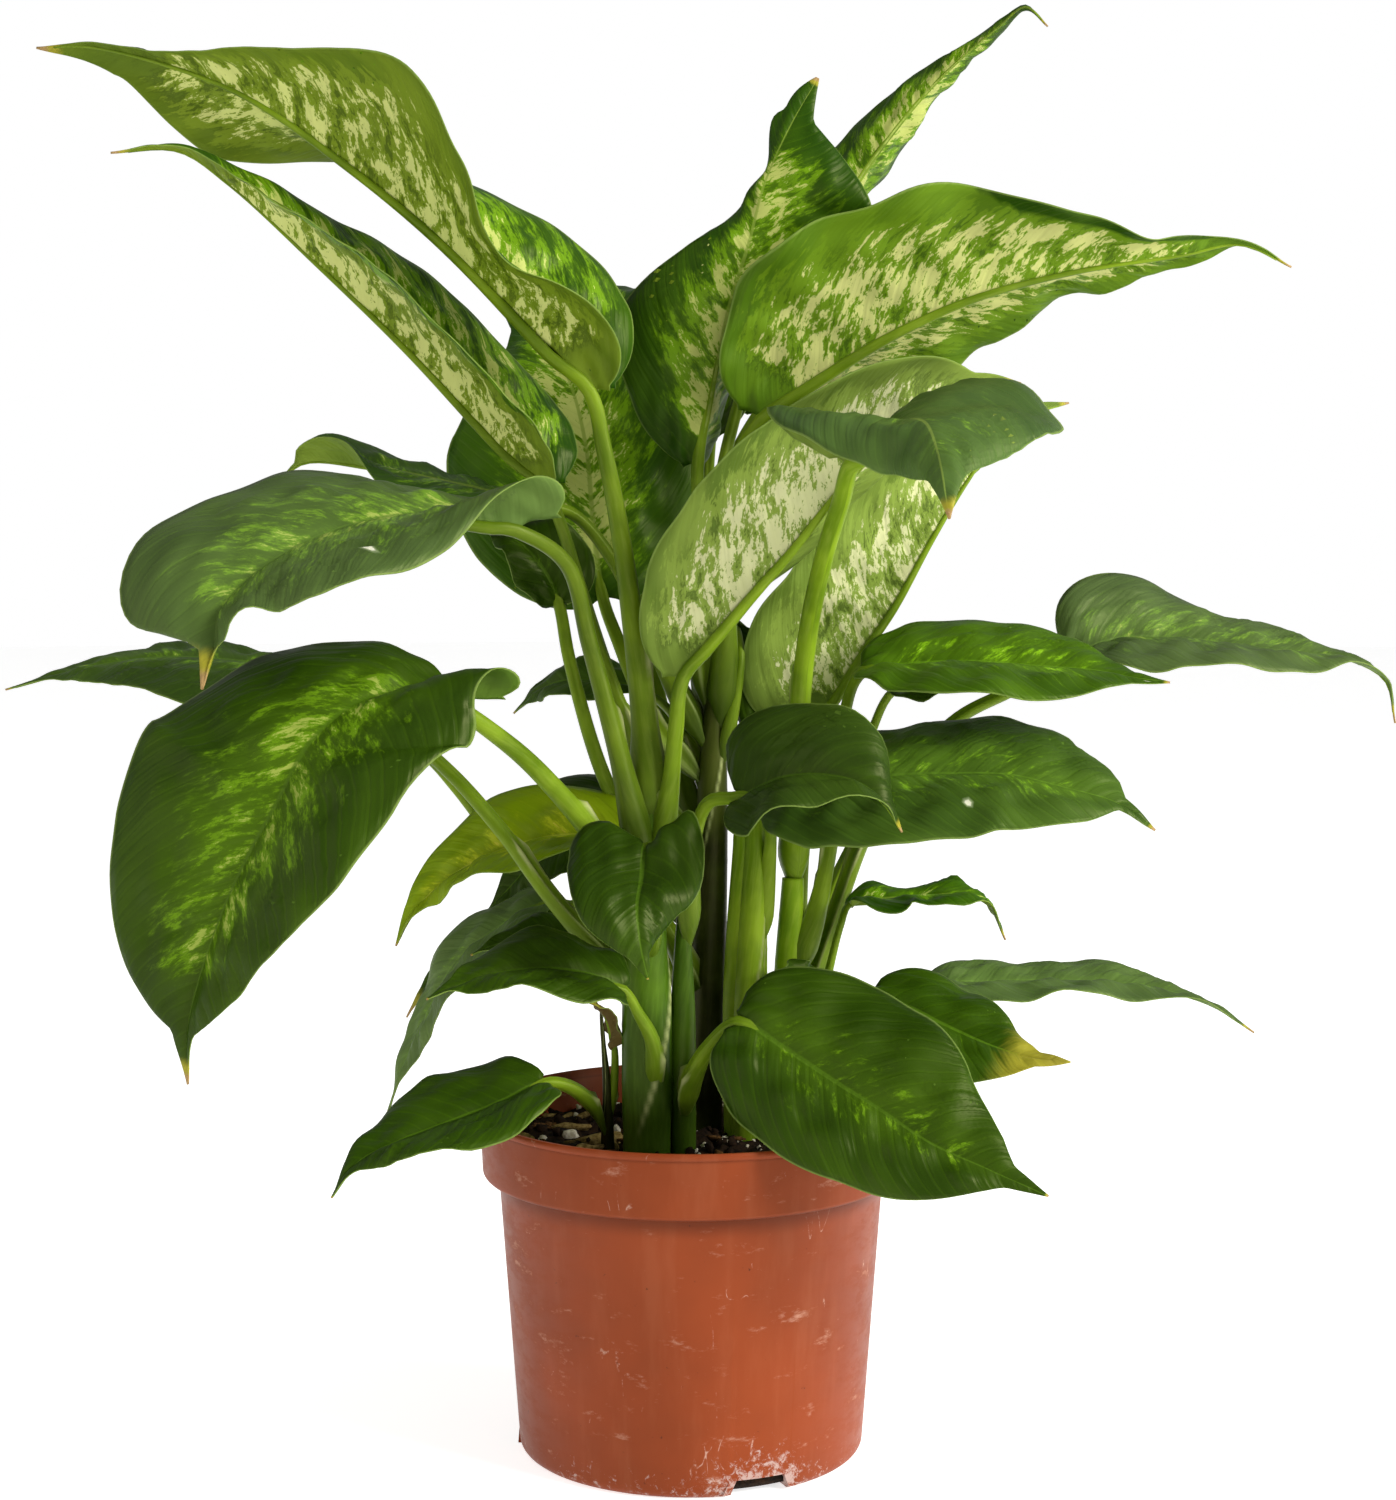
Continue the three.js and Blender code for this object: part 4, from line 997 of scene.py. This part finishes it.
def blade(body, leaf, line, start, plant, seed):
    """The blade's shell: its middle surface, thickened, with its side veins in relief."""
    length = line.length * (1 - start)
    rows = int(np.clip(length / (1.5 * MM), 26, 120))
    t = np.linspace(0, 1, rows)
    t = t - 0.035 * np.sin(2 * np.pi * t)
    centre, tangent = line.at(start + t * (1 - start))
    s = np.linspace(0, 1, 15)
    s = 0.55 * s + 0.45 * s**1.8
    signed = np.concatenate([-s[:0:-1], s])
    columns = len(signed)
    phase = np.random.default_rng(seed).uniform(0, 6.28, 4)
    halves = {side: half_at(leaf, tangent, t, side) for side in (-1, 1)}
    fade = np.minimum(1, 4 * (1 - t))
    frill = leaf["frill"]

    middle, veins = np.empty((2, rows, columns, 3))
    for k, u in enumerate(signed):
        side = -1 if u < 0 else 1
        reach, normal = halves[side]
        share = abs(u)
        scallop = np.sin(29 * t + phase[2] + side) + 0.6 * np.sin(47 * t + phase[3])
        reach = reach * (1 + 0.018 * (0.4 + frill) * share**4 * scallop * fade)[:, None]
        width = np.linalg.norm(reach, axis=1)
        ripple = WAVE_HEIGHT * share**2 * np.sin(2 * np.pi * WAVES * t + side)
        ripple += 0.5 * share**3 * np.sin(17 * t + phase[0] + side)
        ripple += (0.25 + frill) * share**4 * np.sin(37 * t + phase[1] - side)
        distance = width * share / CM
        vein = t * length / CM - VEIN_SLANT * distance - VEIN_BEND * distance * share**2
        uneven = vein + 0.12 * np.sin(2.3 * vein + phase[2]) + 0.07 * np.sin(5.1 * vein + phase[3])
        rise = -plant.relief / MM * np.cos(2 * np.pi * uneven * CM / plant.vein_gap)
        rise *= min(1, 3 * share) * (1 - share**3)
        buckle = np.sin(9 * distance * side + 2.1 * vein + phase[0]) * np.cos(1.3 * vein - phase[1])
        buckle += 0.7 * np.sin(4.2 * vein + 5 * distance + phase[2] + side)
        ripple += plant.buckle / MM * buckle * share * (1.15 - share)
        lift = (ripple + rise) * fade * MM + 4 * ARCH * width * share * (1 - share)
        back = leaf["lobe"][side > 0] * width * share**1.5 * (1 - t) ** 3
        middle[:, k] = centre + reach * share - tangent * back[:, None] + normal * lift[:, None]
        veins[:, k] = stacked(vein, distance * side, seed * 1.7)

    up = unit(np.cross(np.gradient(middle, axis=1), np.gradient(middle, axis=0)))
    distance = np.abs(veins[..., 1]) * CM
    half = plant.thickness / 2 * (1 - 0.5 * np.abs(signed) ** 3)[None, :]
    groove, swell = (
        depth * MM * np.exp(-((distance / (reach * MM)) ** 2)) * (1 - t)[:, None]
        for depth, reach in ((0.35, 0.8), (0.8, 2.2))
    )
    top = middle + up * (half - groove)[..., None]
    bottom = middle - up * (half + swell)[..., None]
    count = rows * columns
    upper = grid_faces(rows, columns)
    edge = np.concatenate([
        np.arange(columns),
        np.arange(1, rows) * columns + columns - 1,
        (rows - 1) * columns + np.arange(columns - 2, -1, -1),
        np.arange(rows - 2, 0, -1) * columns,
    ])
    ahead = np.roll(edge, -1)
    rim = np.stack([ahead, edge, edge + count, ahead + count], 1)
    faces = np.vstack([upper, upper[:, ::-1] + count, rim])

    # The tone's first number: how much greyish sheen is painted over the blade, or BITTEN at a
    # spot.
    tone = stacked(leaf["grey"] + np.zeros((rows, columns)), leaf["gain"], leaf["wide"])
    for spot_along, spot_across in leaf["spots"]:
        row = np.argmin(np.abs(t - spot_along))
        tone[row, np.argmin(np.abs(signed - spot_across)), 0] = BITTEN
    above = stacked(t[:, None], signed, 0.0)
    below = stacked(t[:, None], signed, 1.0)
    for side, first, last, depth in leaf["turned"]:
        within = ease(t, first, first + 0.06) * (1 - ease(t, last - 0.06, last))
        rolled = (np.sign(signed) == side) & (np.abs(signed)[None] > 1 - depth * within[:, None])
        above[rolled, 2] = 1
        below[rolled, 2] = 0
    light, cream, tip = leaf["look"]
    body.add(
        np.stack([top, bottom]), faces, leaf=np.stack([above, below]),
        veins=np.stack([veins, veins]), look=(light, tip, cream), tone=np.stack([tone, tone]),
    )


def stalk(body, leaf, line, start, seed):
    """The leaf's stalk, with its sheath at the foot, running on as the midrib."""
    stalk_length = line.length * start
    stalk_rows = int(np.clip(stalk_length / (2.2 * MM), 14, 60))
    rib_rows = int(np.clip(line.length * (1 - start) / (3 * MM), 12, 50))
    on_stalk = np.linspace(0, 1, stalk_rows, endpoint=False)
    on_rib = np.linspace(0, 0.97, rib_rows)
    share = np.concatenate([on_stalk * start, start + on_rib * (1 - start)])
    centre, tangent = line.at(share)
    along = np.concatenate([on_stalk - 1, on_rib])

    base_up = up_between(leaf, line.at([start])[1], np.zeros(1))[0]
    below = carried(base_up, tangent[:stalk_rows][::-1])[::-1]
    up = np.vstack([below, up_between(leaf, tangent[stalk_rows:], on_rib)])

    foot, neck = leaf["thick"]
    run = on_stalk * stalk_length / MM
    grip = foot * (0.5 * (1 - ease(run, 8, 38)) - 1.2 * (1 - ease(run, 0, 14)))
    radius = np.concatenate([
        foot + (neck - foot) * on_stalk + grip, neck * (0.12 + 0.88 * (1 - on_rib) ** 1.3),
    ]) * MM
    sink = np.concatenate([np.zeros(stalk_rows), ease(on_rib, 0, 0.08) * 0.82]) * radius
    centre = centre - up * sink[:, None]

    angle = angles(28)[None, :]
    angle = np.where(angle > np.pi, angle - 2 * np.pi, angle)
    groove = 0.28 * np.exp(-((angle / 0.5) ** 2))
    wing = 0.3 + 0.35 * ease(along + 1, SHEATH_END - 0.1, SHEATH_END)
    wing *= (1 - ease(along + 1, SHEATH_END - 0.01, SHEATH_END + 0.02)) * (along < 0)
    flange = wing[:, None] * np.exp(-(((np.abs(angle) - 0.75) / 0.2) ** 2))
    radii = radius[:, None] * (1 - groove + flange)
    lengths = (share * line.length / CM)[:, None]
    body.tube(
        centre, up, tangent, radii, 1,
        leaf=stacked(along[:, None], angle / np.pi, ease(flange, 0.18, 0.3)),
        veins=stacked(lengths, angle * radius[:, None] / CM, seed * 1.7),
        tone=(FOOT_SHADE[leaf["stem"]], leaf["stalk_gain"], 1),
    )


def make_leaf(name, seed, plant, finishes):
    leaf = LEAVES[name]
    line = Line(leaf["stalk"] + leaf["rib"])
    start = line.share_at(len(leaf["stalk"]))
    body = Body()
    blade(body, leaf, line, start, plant, seed)
    stalk(body, leaf, line, start, seed)
    finish = finishes["leaf_" + (leaf["finish"] or leaf["shade"])]
    piece = body.make(name, [finish, finishes["stalk"]])
    place(piece, "leaf_" + leaf["shade"], "leaf_" + name)


# ---- Stems ----

# Heights in millimetres: the lowest scars, and where the sheaths begin and are fully there.
SCARS_FROM = 90
SHEATH_FROM, SHEATH_FULL = 92, 104
SHEATH_TURN = 0.0075  # turns of a sheath's edge round its stem, for each millimetre up
BUNDLE = 0.012  # how far the strands of a stem stand out, of its radius
TIP = 9  # millimetres at a stem's top that narrow to a point


def make_stem(name, seed, finishes):
    """A round stem with the scars of fallen leaves round it."""
    row = STEMS[name]
    axis = [*row["axis"]]
    pointed = name in ("right_thick", "middle", "shoot", "main")
    if pointed:
        a, b = (np.array(p, float) for p in axis[-2:])
        axis.append(tuple(b + 11 * unit(b - a)))
    line = Line(axis)
    rows, sides = int(line.length / (0.8 * MM)), 40
    share = np.linspace(0, 1, rows)
    centre, tangent = line.at(share)
    up = carried(np.array([0.0, 1.0, 0.0]), tangent)
    grown = np.minimum(share / line.share_at(len(row["axis"]) - 1), 1)
    radius = smooth_list(np.array(row["radius"])[:, None], grown) * MM
    angle = angles(sides)[None, :]
    rng = np.random.default_rng(seed)
    height = centre[:, 2:3] / MM
    top = height.max()
    scars = np.zeros((rows, sides))
    level = SCARS_FROM + rng.uniform(0, 8)
    while level < top - 6:
        slant = rng.uniform(0.4, 1.6) * np.cos(angle - rng.uniform(0, 6.28))
        scars = np.maximum(scars, np.exp(-(((height - level - slant) / 0.7) ** 2)))
        level += rng.uniform(11, 22)
    turn = (angle / (2 * np.pi) - height * SHEATH_TURN + rng.uniform()) % 1
    risen = ease(height, SHEATH_FROM, SHEATH_FULL)
    sheath = ease(turn, 0, 0.035) * (1 - turn) * risen
    lip = np.exp(-(((turn - 0.03) / 0.012) ** 2)) * risen
    radii = radius * (1 + 0.012 * scars + BUNDLE * np.cos(3 * angle + 0.01 * height))
    radii = radii * (1 + 0.13 * sheath)
    tip = np.clip((height - top + TIP) / TIP, 0, 1) * pointed
    radii = radii * np.sqrt(np.maximum(1 - tip**1.6, 0.004))
    lighter = row["gain"] * (0.85 + 0.45 * ease(height, SHEATH_FROM, 135))
    notes = dict(
        leaf=stacked(share[:, None], angle, 0.9 * lip),
        veins=stacked(height / 10, angle * radius / CM, seed * 2.3),
    )
    tone = stacked(0 * radii, lighter, 0)
    body = Body()
    strands = 3 if name == "right_thick" else 0
    core = 0.7 if strands else 1
    body.tube(centre, up, tangent, radii * core, tone=tone, **notes)
    for k in range(strands):
        way = 2 * np.pi * (k + 0.25) / strands + 0.006 * height
        offset = up * np.cos(way) + np.cross(tangent, up) * np.sin(way)
        apart = centre + 0.43 * offset * radius
        body.tube(apart, up, tangent, 0.6 * radii, tone=tone * (1.1 - 0.12 * k), **notes)
    finish = {"back": "stem_dark", "shoot": "stem_dark"}.get(name, "stem")
    finish = "stem_pale" if name.startswith("right") else finish
    place(body.make(name + "_stem", [finishes[finish]]), "stem", "stem_" + name)


# ---- Pot ----

BASE_ROUND = 3 * MM
BAND_ROUND = 1.6 * MM
# The outside of the rim's lip: millimetres in from the rim and down from the top.
LIP = ((0.75, 2.1), (0.45, 1.9), (0.1, 1.4), (0, 0.9), (0.1, 0.35), (0.4, 0))


def lathe(body, profile, sides):
    """A closed body turned about the Z axis from its profile, which starts and ends on it."""
    profile = np.array(profile, float)
    angle = angles(sides)
    ring, rise = profile[1:-1, :1], profile[1:-1, 1:]
    points = stacked(ring * np.cos(angle), ring * np.sin(angle), rise).reshape(-1, 3)
    faces = grid_faces(len(ring), sides, True).tolist()
    first, last = len(points), len(points) + 1
    final = first - sides
    for k in range(sides):
        after = (k + 1) % sides
        faces += [[after, k, first], [final + k, final + after, last]]
    ends = [[0, 0, profile[0, 1]], [0, 0, profile[-1, 1]]]
    body.add(np.vstack([points, ends]), faces)


def pot_inside(pot, gap=0):
    """The profile of the pot's inside from the rim down to the axis."""
    foot = pot.height - pot.rim_depth
    floor = pot.wall + gap
    return [
        (pot.rim_foot_radius - floor, foot + pot.wall),
        (pot.shoulder_radius - floor, foot),
        (pot.base_radius - floor, BASE_ROUND + gap),
        (pot.base_radius - floor - 0.5 * BASE_ROUND, floor),
        (0, floor),
    ]


def rounded(out, up, radius, turn, count):
    """The profile of a rounded edge that starts flat, out at its radius and up at the height."""
    return [
        (out - radius + radius * math.sin(a), up + radius - radius * math.cos(a))
        for a in np.linspace(0, turn * math.pi, count)
    ]


def pot_outside(pot):
    foot = pot.height - pot.rim_depth
    rim, top = pot.rim_radius, pot.height
    return [
        (0, 0),
        *rounded(pot.base_radius, 0, BASE_ROUND, 0.5, 7),
        (pot.shoulder_radius, foot - 1 * MM),
        (pot.shoulder_radius + 0.6 * MM, foot),
        *rounded(pot.rim_foot_radius, foot, BAND_ROUND, 0.47, 6),
        *((rim - inward * MM, top - down * MM) for inward, down in LIP),
        (rim - pot.wall + 0.2 * MM, top),
        (rim - pot.wall, top - 0.25 * MM),
    ]


def as_mesh(made, name):
    mesh = bpy.data.meshes.new(name)
    made.to_mesh(mesh)
    made.free()
    return mesh


def round_the_pot(form, name):
    """The same body at each of the pot's feet, as one object."""
    mesh = as_mesh(form, name)
    made = bmesh.new()
    for i in range(FEET["count"]):
        copy = mesh.copy()
        turn = math.radians(FEET["first"] - 90 + 360 * i / FEET["count"])
        sin, cos = math.sin(turn), math.cos(turn)
        spin = np.array([[cos, sin, 0], [-sin, cos, 0], [0, 0, 1]])
        points = np.array([v.co for v in copy.vertices]) @ spin
        copy.vertices.foreach_set("co", points.astype(np.float32).ravel())
        made.from_mesh(copy)
        bpy.data.meshes.remove(copy)
    cutter = bpy.data.objects.new(name, as_mesh(made, name))
    bpy.context.scene.collection.objects.link(cutter)
    return cutter


def channel(extra, outer, low, name):
    """The drainage channels under the pot's floor, or with extra the shells over them."""
    half = (FEET["width"] / 2 + extra) * MM
    inner = (FEET["inner"] - extra) * MM
    top = (FEET["height"] + extra) * MM
    slant = FEET["slant"] * MM
    outline = [(-half, low * MM), (half, low * MM), (half - slant, top), (-half + slant, top)]
    made = bmesh.new()
    ends = [[made.verts.new((x, y, z)) for x, z in outline] for y in (inner, outer)]
    made.faces.new(ends[0])
    made.faces.new(ends[1][::-1])
    for k in range(4):
        after = (k + 1) % 4
        made.faces.new((ends[0][after], ends[0][k], ends[1][k], ends[1][after]))
    bmesh.ops.recalc_face_normals(made, faces=made.faces)
    return round_the_pot(made, name)


def drains(pot):
    """The bodies of the drain holes, one at each foot."""
    radius = FEET["drain"] * MM
    middle = (pot.base_radius + FEET["inner"] * MM) / 2
    made = bmesh.new()
    bmesh.ops.create_cone(
        made, cap_ends=True, segments=32, radius1=radius, radius2=radius, depth=14 * MM
    )
    spot = (-FEET["width"] / 5 * MM, middle, 5 * MM)
    bmesh.ops.translate(made, verts=made.verts, vec=spot)
    return round_the_pot(made, "drains")


def combine(piece, cutter, operation):
    """Joins the cutter to the piece or cuts it out, and removes the cutter."""
    change = piece.modifiers.new(operation.lower(), "BOOLEAN")
    change.operation, change.object, change.solver = operation, cutter, "EXACT"
    graph = bpy.context.evaluated_depsgraph_get()
    mesh = bpy.data.meshes.new_from_object(piece.evaluated_get(graph))
    piece.modifiers.clear()
    old, piece.data = piece.data, mesh
    bpy.data.meshes.remove(old)
    bpy.data.objects.remove(cutter)
    if not mesh.polygons:
        raise RuntimeError("the pot was lost in cutting its drainage")


def make_pot(pot, finish):
    body = Body()
    lathe(body, pot_outside(pot) + pot_inside(pot), pot.sides)
    piece = body.make("nursery_pot", [finish])
    wall = pot.wall / MM
    combine(piece, channel(wall, pot.base_radius - 0.5 * pot.wall, 0.9 * wall, "shells"), "UNION")
    combine(piece, channel(0, 2 * pot.base_radius, -1, "channels"), "DIFFERENCE")
    combine(piece, drains(pot), "DIFFERENCE")
    piece.data.set_sharp_from_angle(angle=math.radians(40))
    place(piece, "pot", "pot")


# ---- Soil ----

SOIL_GAP = 0.3 * MM
CRUMBS_REACH = 56  # millimetres out from the axis
# The crumbs: what they are, their share of all and their usual size in millimetres.
CRUMBS = (("peat", 0.44, 1.3), ("perlite", 0.2, 0.9), ("bark", 0.24, 1.1), ("fibre", 0.12, 1.5))


def soil_top(x, y):
    """The height of the soil's uneven top, all in millimetres."""
    middle = 1 - np.hypot(x, y) / SOIL["radius"]
    heaps = np.sin(0.23 * x + 1) * np.cos(0.31 * y) + 0.6 * np.sin(0.41 * x - 0.37 * y)
    ground = stacked(x, y, 0)
    fine = lumps(ground, 4.5, 5) + 0.6 * lumps(ground, 2, 6)
    heaps = heaps * np.clip(4 * middle, 0, 1)
    return SOIL["top"] + SOIL["lump"] * (heaps + middle) + 0.45 * fine


def make_soil(pot, count, finishes):
    level = SOIL["top"] * MM
    rings = [(r * MM, level) for r in np.linspace(SOIL["radius"], 0, 44)]
    body = Body()
    lathe(body, pot_inside(pot, SOIL_GAP)[::-1] + rings, 150)
    points = body.points[0]
    top = points[:, 2] > level - 0.01 * MM
    x, y = points[top, 0] / MM, points[top, 1] / MM
    points[top, 2] = soil_top(x, y) * MM

    rng = np.random.default_rng(11)
    ball = bmesh.new()
    bmesh.ops.create_icosphere(ball, subdivisions=2, radius=1)
    shape = np.array([v.co for v in ball.verts])
    faces = [[v.index for v in f.verts] for f in ball.faces]
    ball.free()
    for i in range(count):
        kind = rng.choice(len(CRUMBS), p=[share for _, share, _ in CRUMBS])
        size = CRUMBS[kind][2] * rng.lognormal(0, 0.35)
        drawn_out = kind > 1
        stretch = np.array([1.0, rng.uniform(0.6, 0.9), rng.uniform(0.4, 0.7)])
        if drawn_out:
            stretch[0] *= rng.uniform(1.4, 2.6)
        grown = shape * (1 + 0.28 * lumps(shape, 1.3, 100 + i)[:, None]) * stretch * size
        turn, _ = np.linalg.qr(rng.normal(size=(3, 3)))
        flat = rng.uniform(0, 2 * np.pi)
        if drawn_out:
            tilt = rng.normal(0, 0.25)
            turn = np.array([
                [np.cos(flat), -np.sin(flat), 0], [np.sin(flat), np.cos(flat), 0], [0, tilt, 1],
            ])
        spot = CRUMBS_REACH * np.sqrt(rng.uniform())
        around = rng.uniform(0, 2 * np.pi)
        spot = min(spot, SOIL["radius"] - 1.2 * size * stretch[0])
        x, y = spot * np.cos(around), spot * np.sin(around)
        z = soil_top(np.array([x]), np.array([y]))[0] + 0.25 * size
        body.add((grown @ turn.T + np.array([x, y, z])) * MM, faces, int(kind))
    piece = body.make("potting_soil", [finishes[kind] for kind, _, _ in CRUMBS])
    place(piece, "soil", "soil")


# ---- The tools ----

# The camera, as for the photo: its lens and sensor in millimetres, its place and how many degrees
# it looks down.
LENS, SENSOR = 69.36, 36
STANDPOINT = (0.002, -0.8, 0.273)
LOOKS_DOWN = 5.4
LAMPS_AIM = (0, 0, 0.2)
FLOOR_RADIUS = 4
FLOOR_DEPTH = 20 * MM


class PLANT_OT_pot(bpy.types.Operator):
    """Turns the nursery pot and cuts its drainage channels"""

    bl_idname = "plant.pot"
    bl_label = "Pot"

    def execute(self, context):
        pot = context.scene.plant_pot
        make_pot(pot, pot_finish(tuple(pot.plastic)))
        return {"FINISHED"}


class PLANT_OT_soil(bpy.types.Operator):
    """Fills the pot with peat and scatters its crumbs"""

    bl_idname = "plant.soil"
    bl_label = "Soil"

    def execute(self, context):
        rows = (
            ("peat", "0d0905", "2c1d10"),
            ("perlite", "b5a88c", "e6dfcc", 900),
            ("bark", "2a1a0c", "6b4a26", 700),
            ("fibre", "5d4a22", "9c8450", 700),
        )
        finishes = {row[0]: crumb_finish(*row) for row in rows}
        scene = context.scene
        make_soil(scene.plant_pot, scene.plant_growth.crumbs, finishes)
        return {"FINISHED"}


class PLANT_OT_stems(bpy.types.Operator):
    """Raises the stems out of the soil"""

    bl_idname = "plant.stems"
    bl_label = "Stems"

    def execute(self, context):
        shade = tuple(context.scene.plant_growth.stem)
        rows = (
            ("stem", shade, "2c4606", "64862a"),
            ("stem_pale", "92b020", "5f7f0c", "b0c048"),
            ("stem_dark", "3a4410", "1c2008", "54522a"),
        )
        finishes = {row[0]: stalk_finish(*row) for row in rows}
        for seed, name in enumerate(STEMS):
            make_stem(name, seed + 3, finishes)
        return {"FINISHED"}


class PLANT_OT_leaves(bpy.types.Operator):
    """Grows every leaf, each one piece of stalk and blade"""

    bl_idname = "plant.leaves"
    bl_label = "Leaves"

    def execute(self, context):
        plant = context.scene.plant_growth
        finishes = {"leaf_" + shade: leaf_finish(shade) for shade in SHADES}
        finishes["stalk"] = stalk_finish("stalk", tuple(plant.stalk), "55700f", "a5b44c")
        for seed, name in enumerate(LEAVES):
            make_leaf(name, seed + 1, plant, finishes)
        return {"FINISHED"}


class PLANT_OT_studio(bpy.types.Operator):
    """Sets the pale floor, the soft lights and the camera"""

    bl_idname = "plant.studio"
    bl_label = "Studio"

    def execute(self, context):
        scene = context.scene
        studio = scene.plant_studio
        scene.view_settings.view_transform = "Standard"
        f = Finish("floor")
        grain = f.noise(f.node("TexCoord").outputs["Object"], 40, 3)
        paper = f.mix(grain, (0.8, 0.8, 0.79), (0.84, 0.84, 0.83))
        body = Body()
        rim = [(FLOOR_RADIUS, -FLOOR_DEPTH), (FLOOR_RADIUS, 0)]
        lathe(body, [(0, -FLOOR_DEPTH), *rim, (0, 0)], 96)
        glow = {"Emission Color": (1, 1, 1, 1), "Emission Strength": 0.72 * studio.backdrop}
        floor = body.make("floor", [f.solid(paper, 0.9, **glow)])

        world = bpy.data.worlds.new("surround")
        scene.world = world
        world.use_nodes = True
        back = world.node_tree.nodes["Background"]
        back.inputs["Color"].default_value = (1, 1, 1, 1)
        seen = world.node_tree.nodes.new("ShaderNodeLightPath").outputs["Is Camera Ray"]
        level = world.node_tree.nodes.new("ShaderNodeMapRange")
        level.inputs["To Min"].default_value = studio.sky
        level.inputs["To Max"].default_value = studio.backdrop
        world.node_tree.links.new(seen, level.inputs["Value"])
        world.node_tree.links.new(level.outputs[0], back.inputs["Strength"])

        rows = (
            ("key", studio.key, 1.1, (1.7, -0.85, 1.15)),
            ("fill", studio.fill, 1.4, (-1.5, -0.9, 0.8)),
        )
        for name, power, size, where in rows:
            lamp = bpy.data.lights.new(name, "AREA")
            lamp.energy, lamp.size = power, size
            light = bpy.data.objects.new(name, lamp)
            light.location = where
            aim = np.array(LAMPS_AIM) - np.array(where)
            light.rotation_euler = (
                math.acos(-aim[2] / np.linalg.norm(aim)),
                0,
                math.atan2(aim[1], aim[0]) - math.pi / 2,
            )
            scene.collection.objects.link(light)

        lens = bpy.data.cameras.new("camera")
        lens.lens, lens.sensor_width = LENS, SENSOR
        camera = bpy.data.objects.new("camera", lens)
        camera.location = STANDPOINT
        camera.rotation_euler = (math.radians(90 - LOOKS_DOWN), 0, 0)
        scene.collection.objects.link(camera)
        scene.camera = camera
        return {"FINISHED"}


class PLANT_PT_panel(bpy.types.Panel):
    """Lists the plant's settings and tools"""

    bl_idname = "PLANT_PT_panel"
    bl_label = "Potted dieffenbachia"
    bl_space_type = "VIEW_3D"
    bl_region_type = "UI"
    bl_category = "Plant"

    def draw(self, context):
        layout = self.layout
        for settings in ("plant_pot", "plant_growth", "plant_studio"):
            box = layout.box()
            group = getattr(context.scene, settings)
            for name in group.__annotations__:
                box.prop(group, name)
        for operator in OPERATORS:
            layout.operator(operator.bl_idname)


OPERATORS = (PLANT_OT_studio, PLANT_OT_pot, PLANT_OT_soil, PLANT_OT_stems, PLANT_OT_leaves)
SETTINGS = {
    "plant_pot": PotSettings, "plant_growth": PlantSettings, "plant_studio": StudioSettings,
}


def register():
    for made in (*SETTINGS.values(), *OPERATORS, PLANT_PT_panel):
        bpy.utils.register_class(made)
    for name, group in SETTINGS.items():
        setattr(bpy.types.Scene, name, PointerProperty(type=group))


def unregister():
    for name in SETTINGS:
        delattr(bpy.types.Scene, name)
    for made in (PLANT_PT_panel, *OPERATORS[::-1], *reversed(SETTINGS.values())):
        bpy.utils.unregister_class(made)


def main():
    register()
    bpy.ops.plant.studio()
    bpy.ops.plant.pot()
    bpy.ops.plant.soil()
    bpy.ops.plant.stems()
    bpy.ops.plant.leaves()


if __name__ == "__main__":
    main()
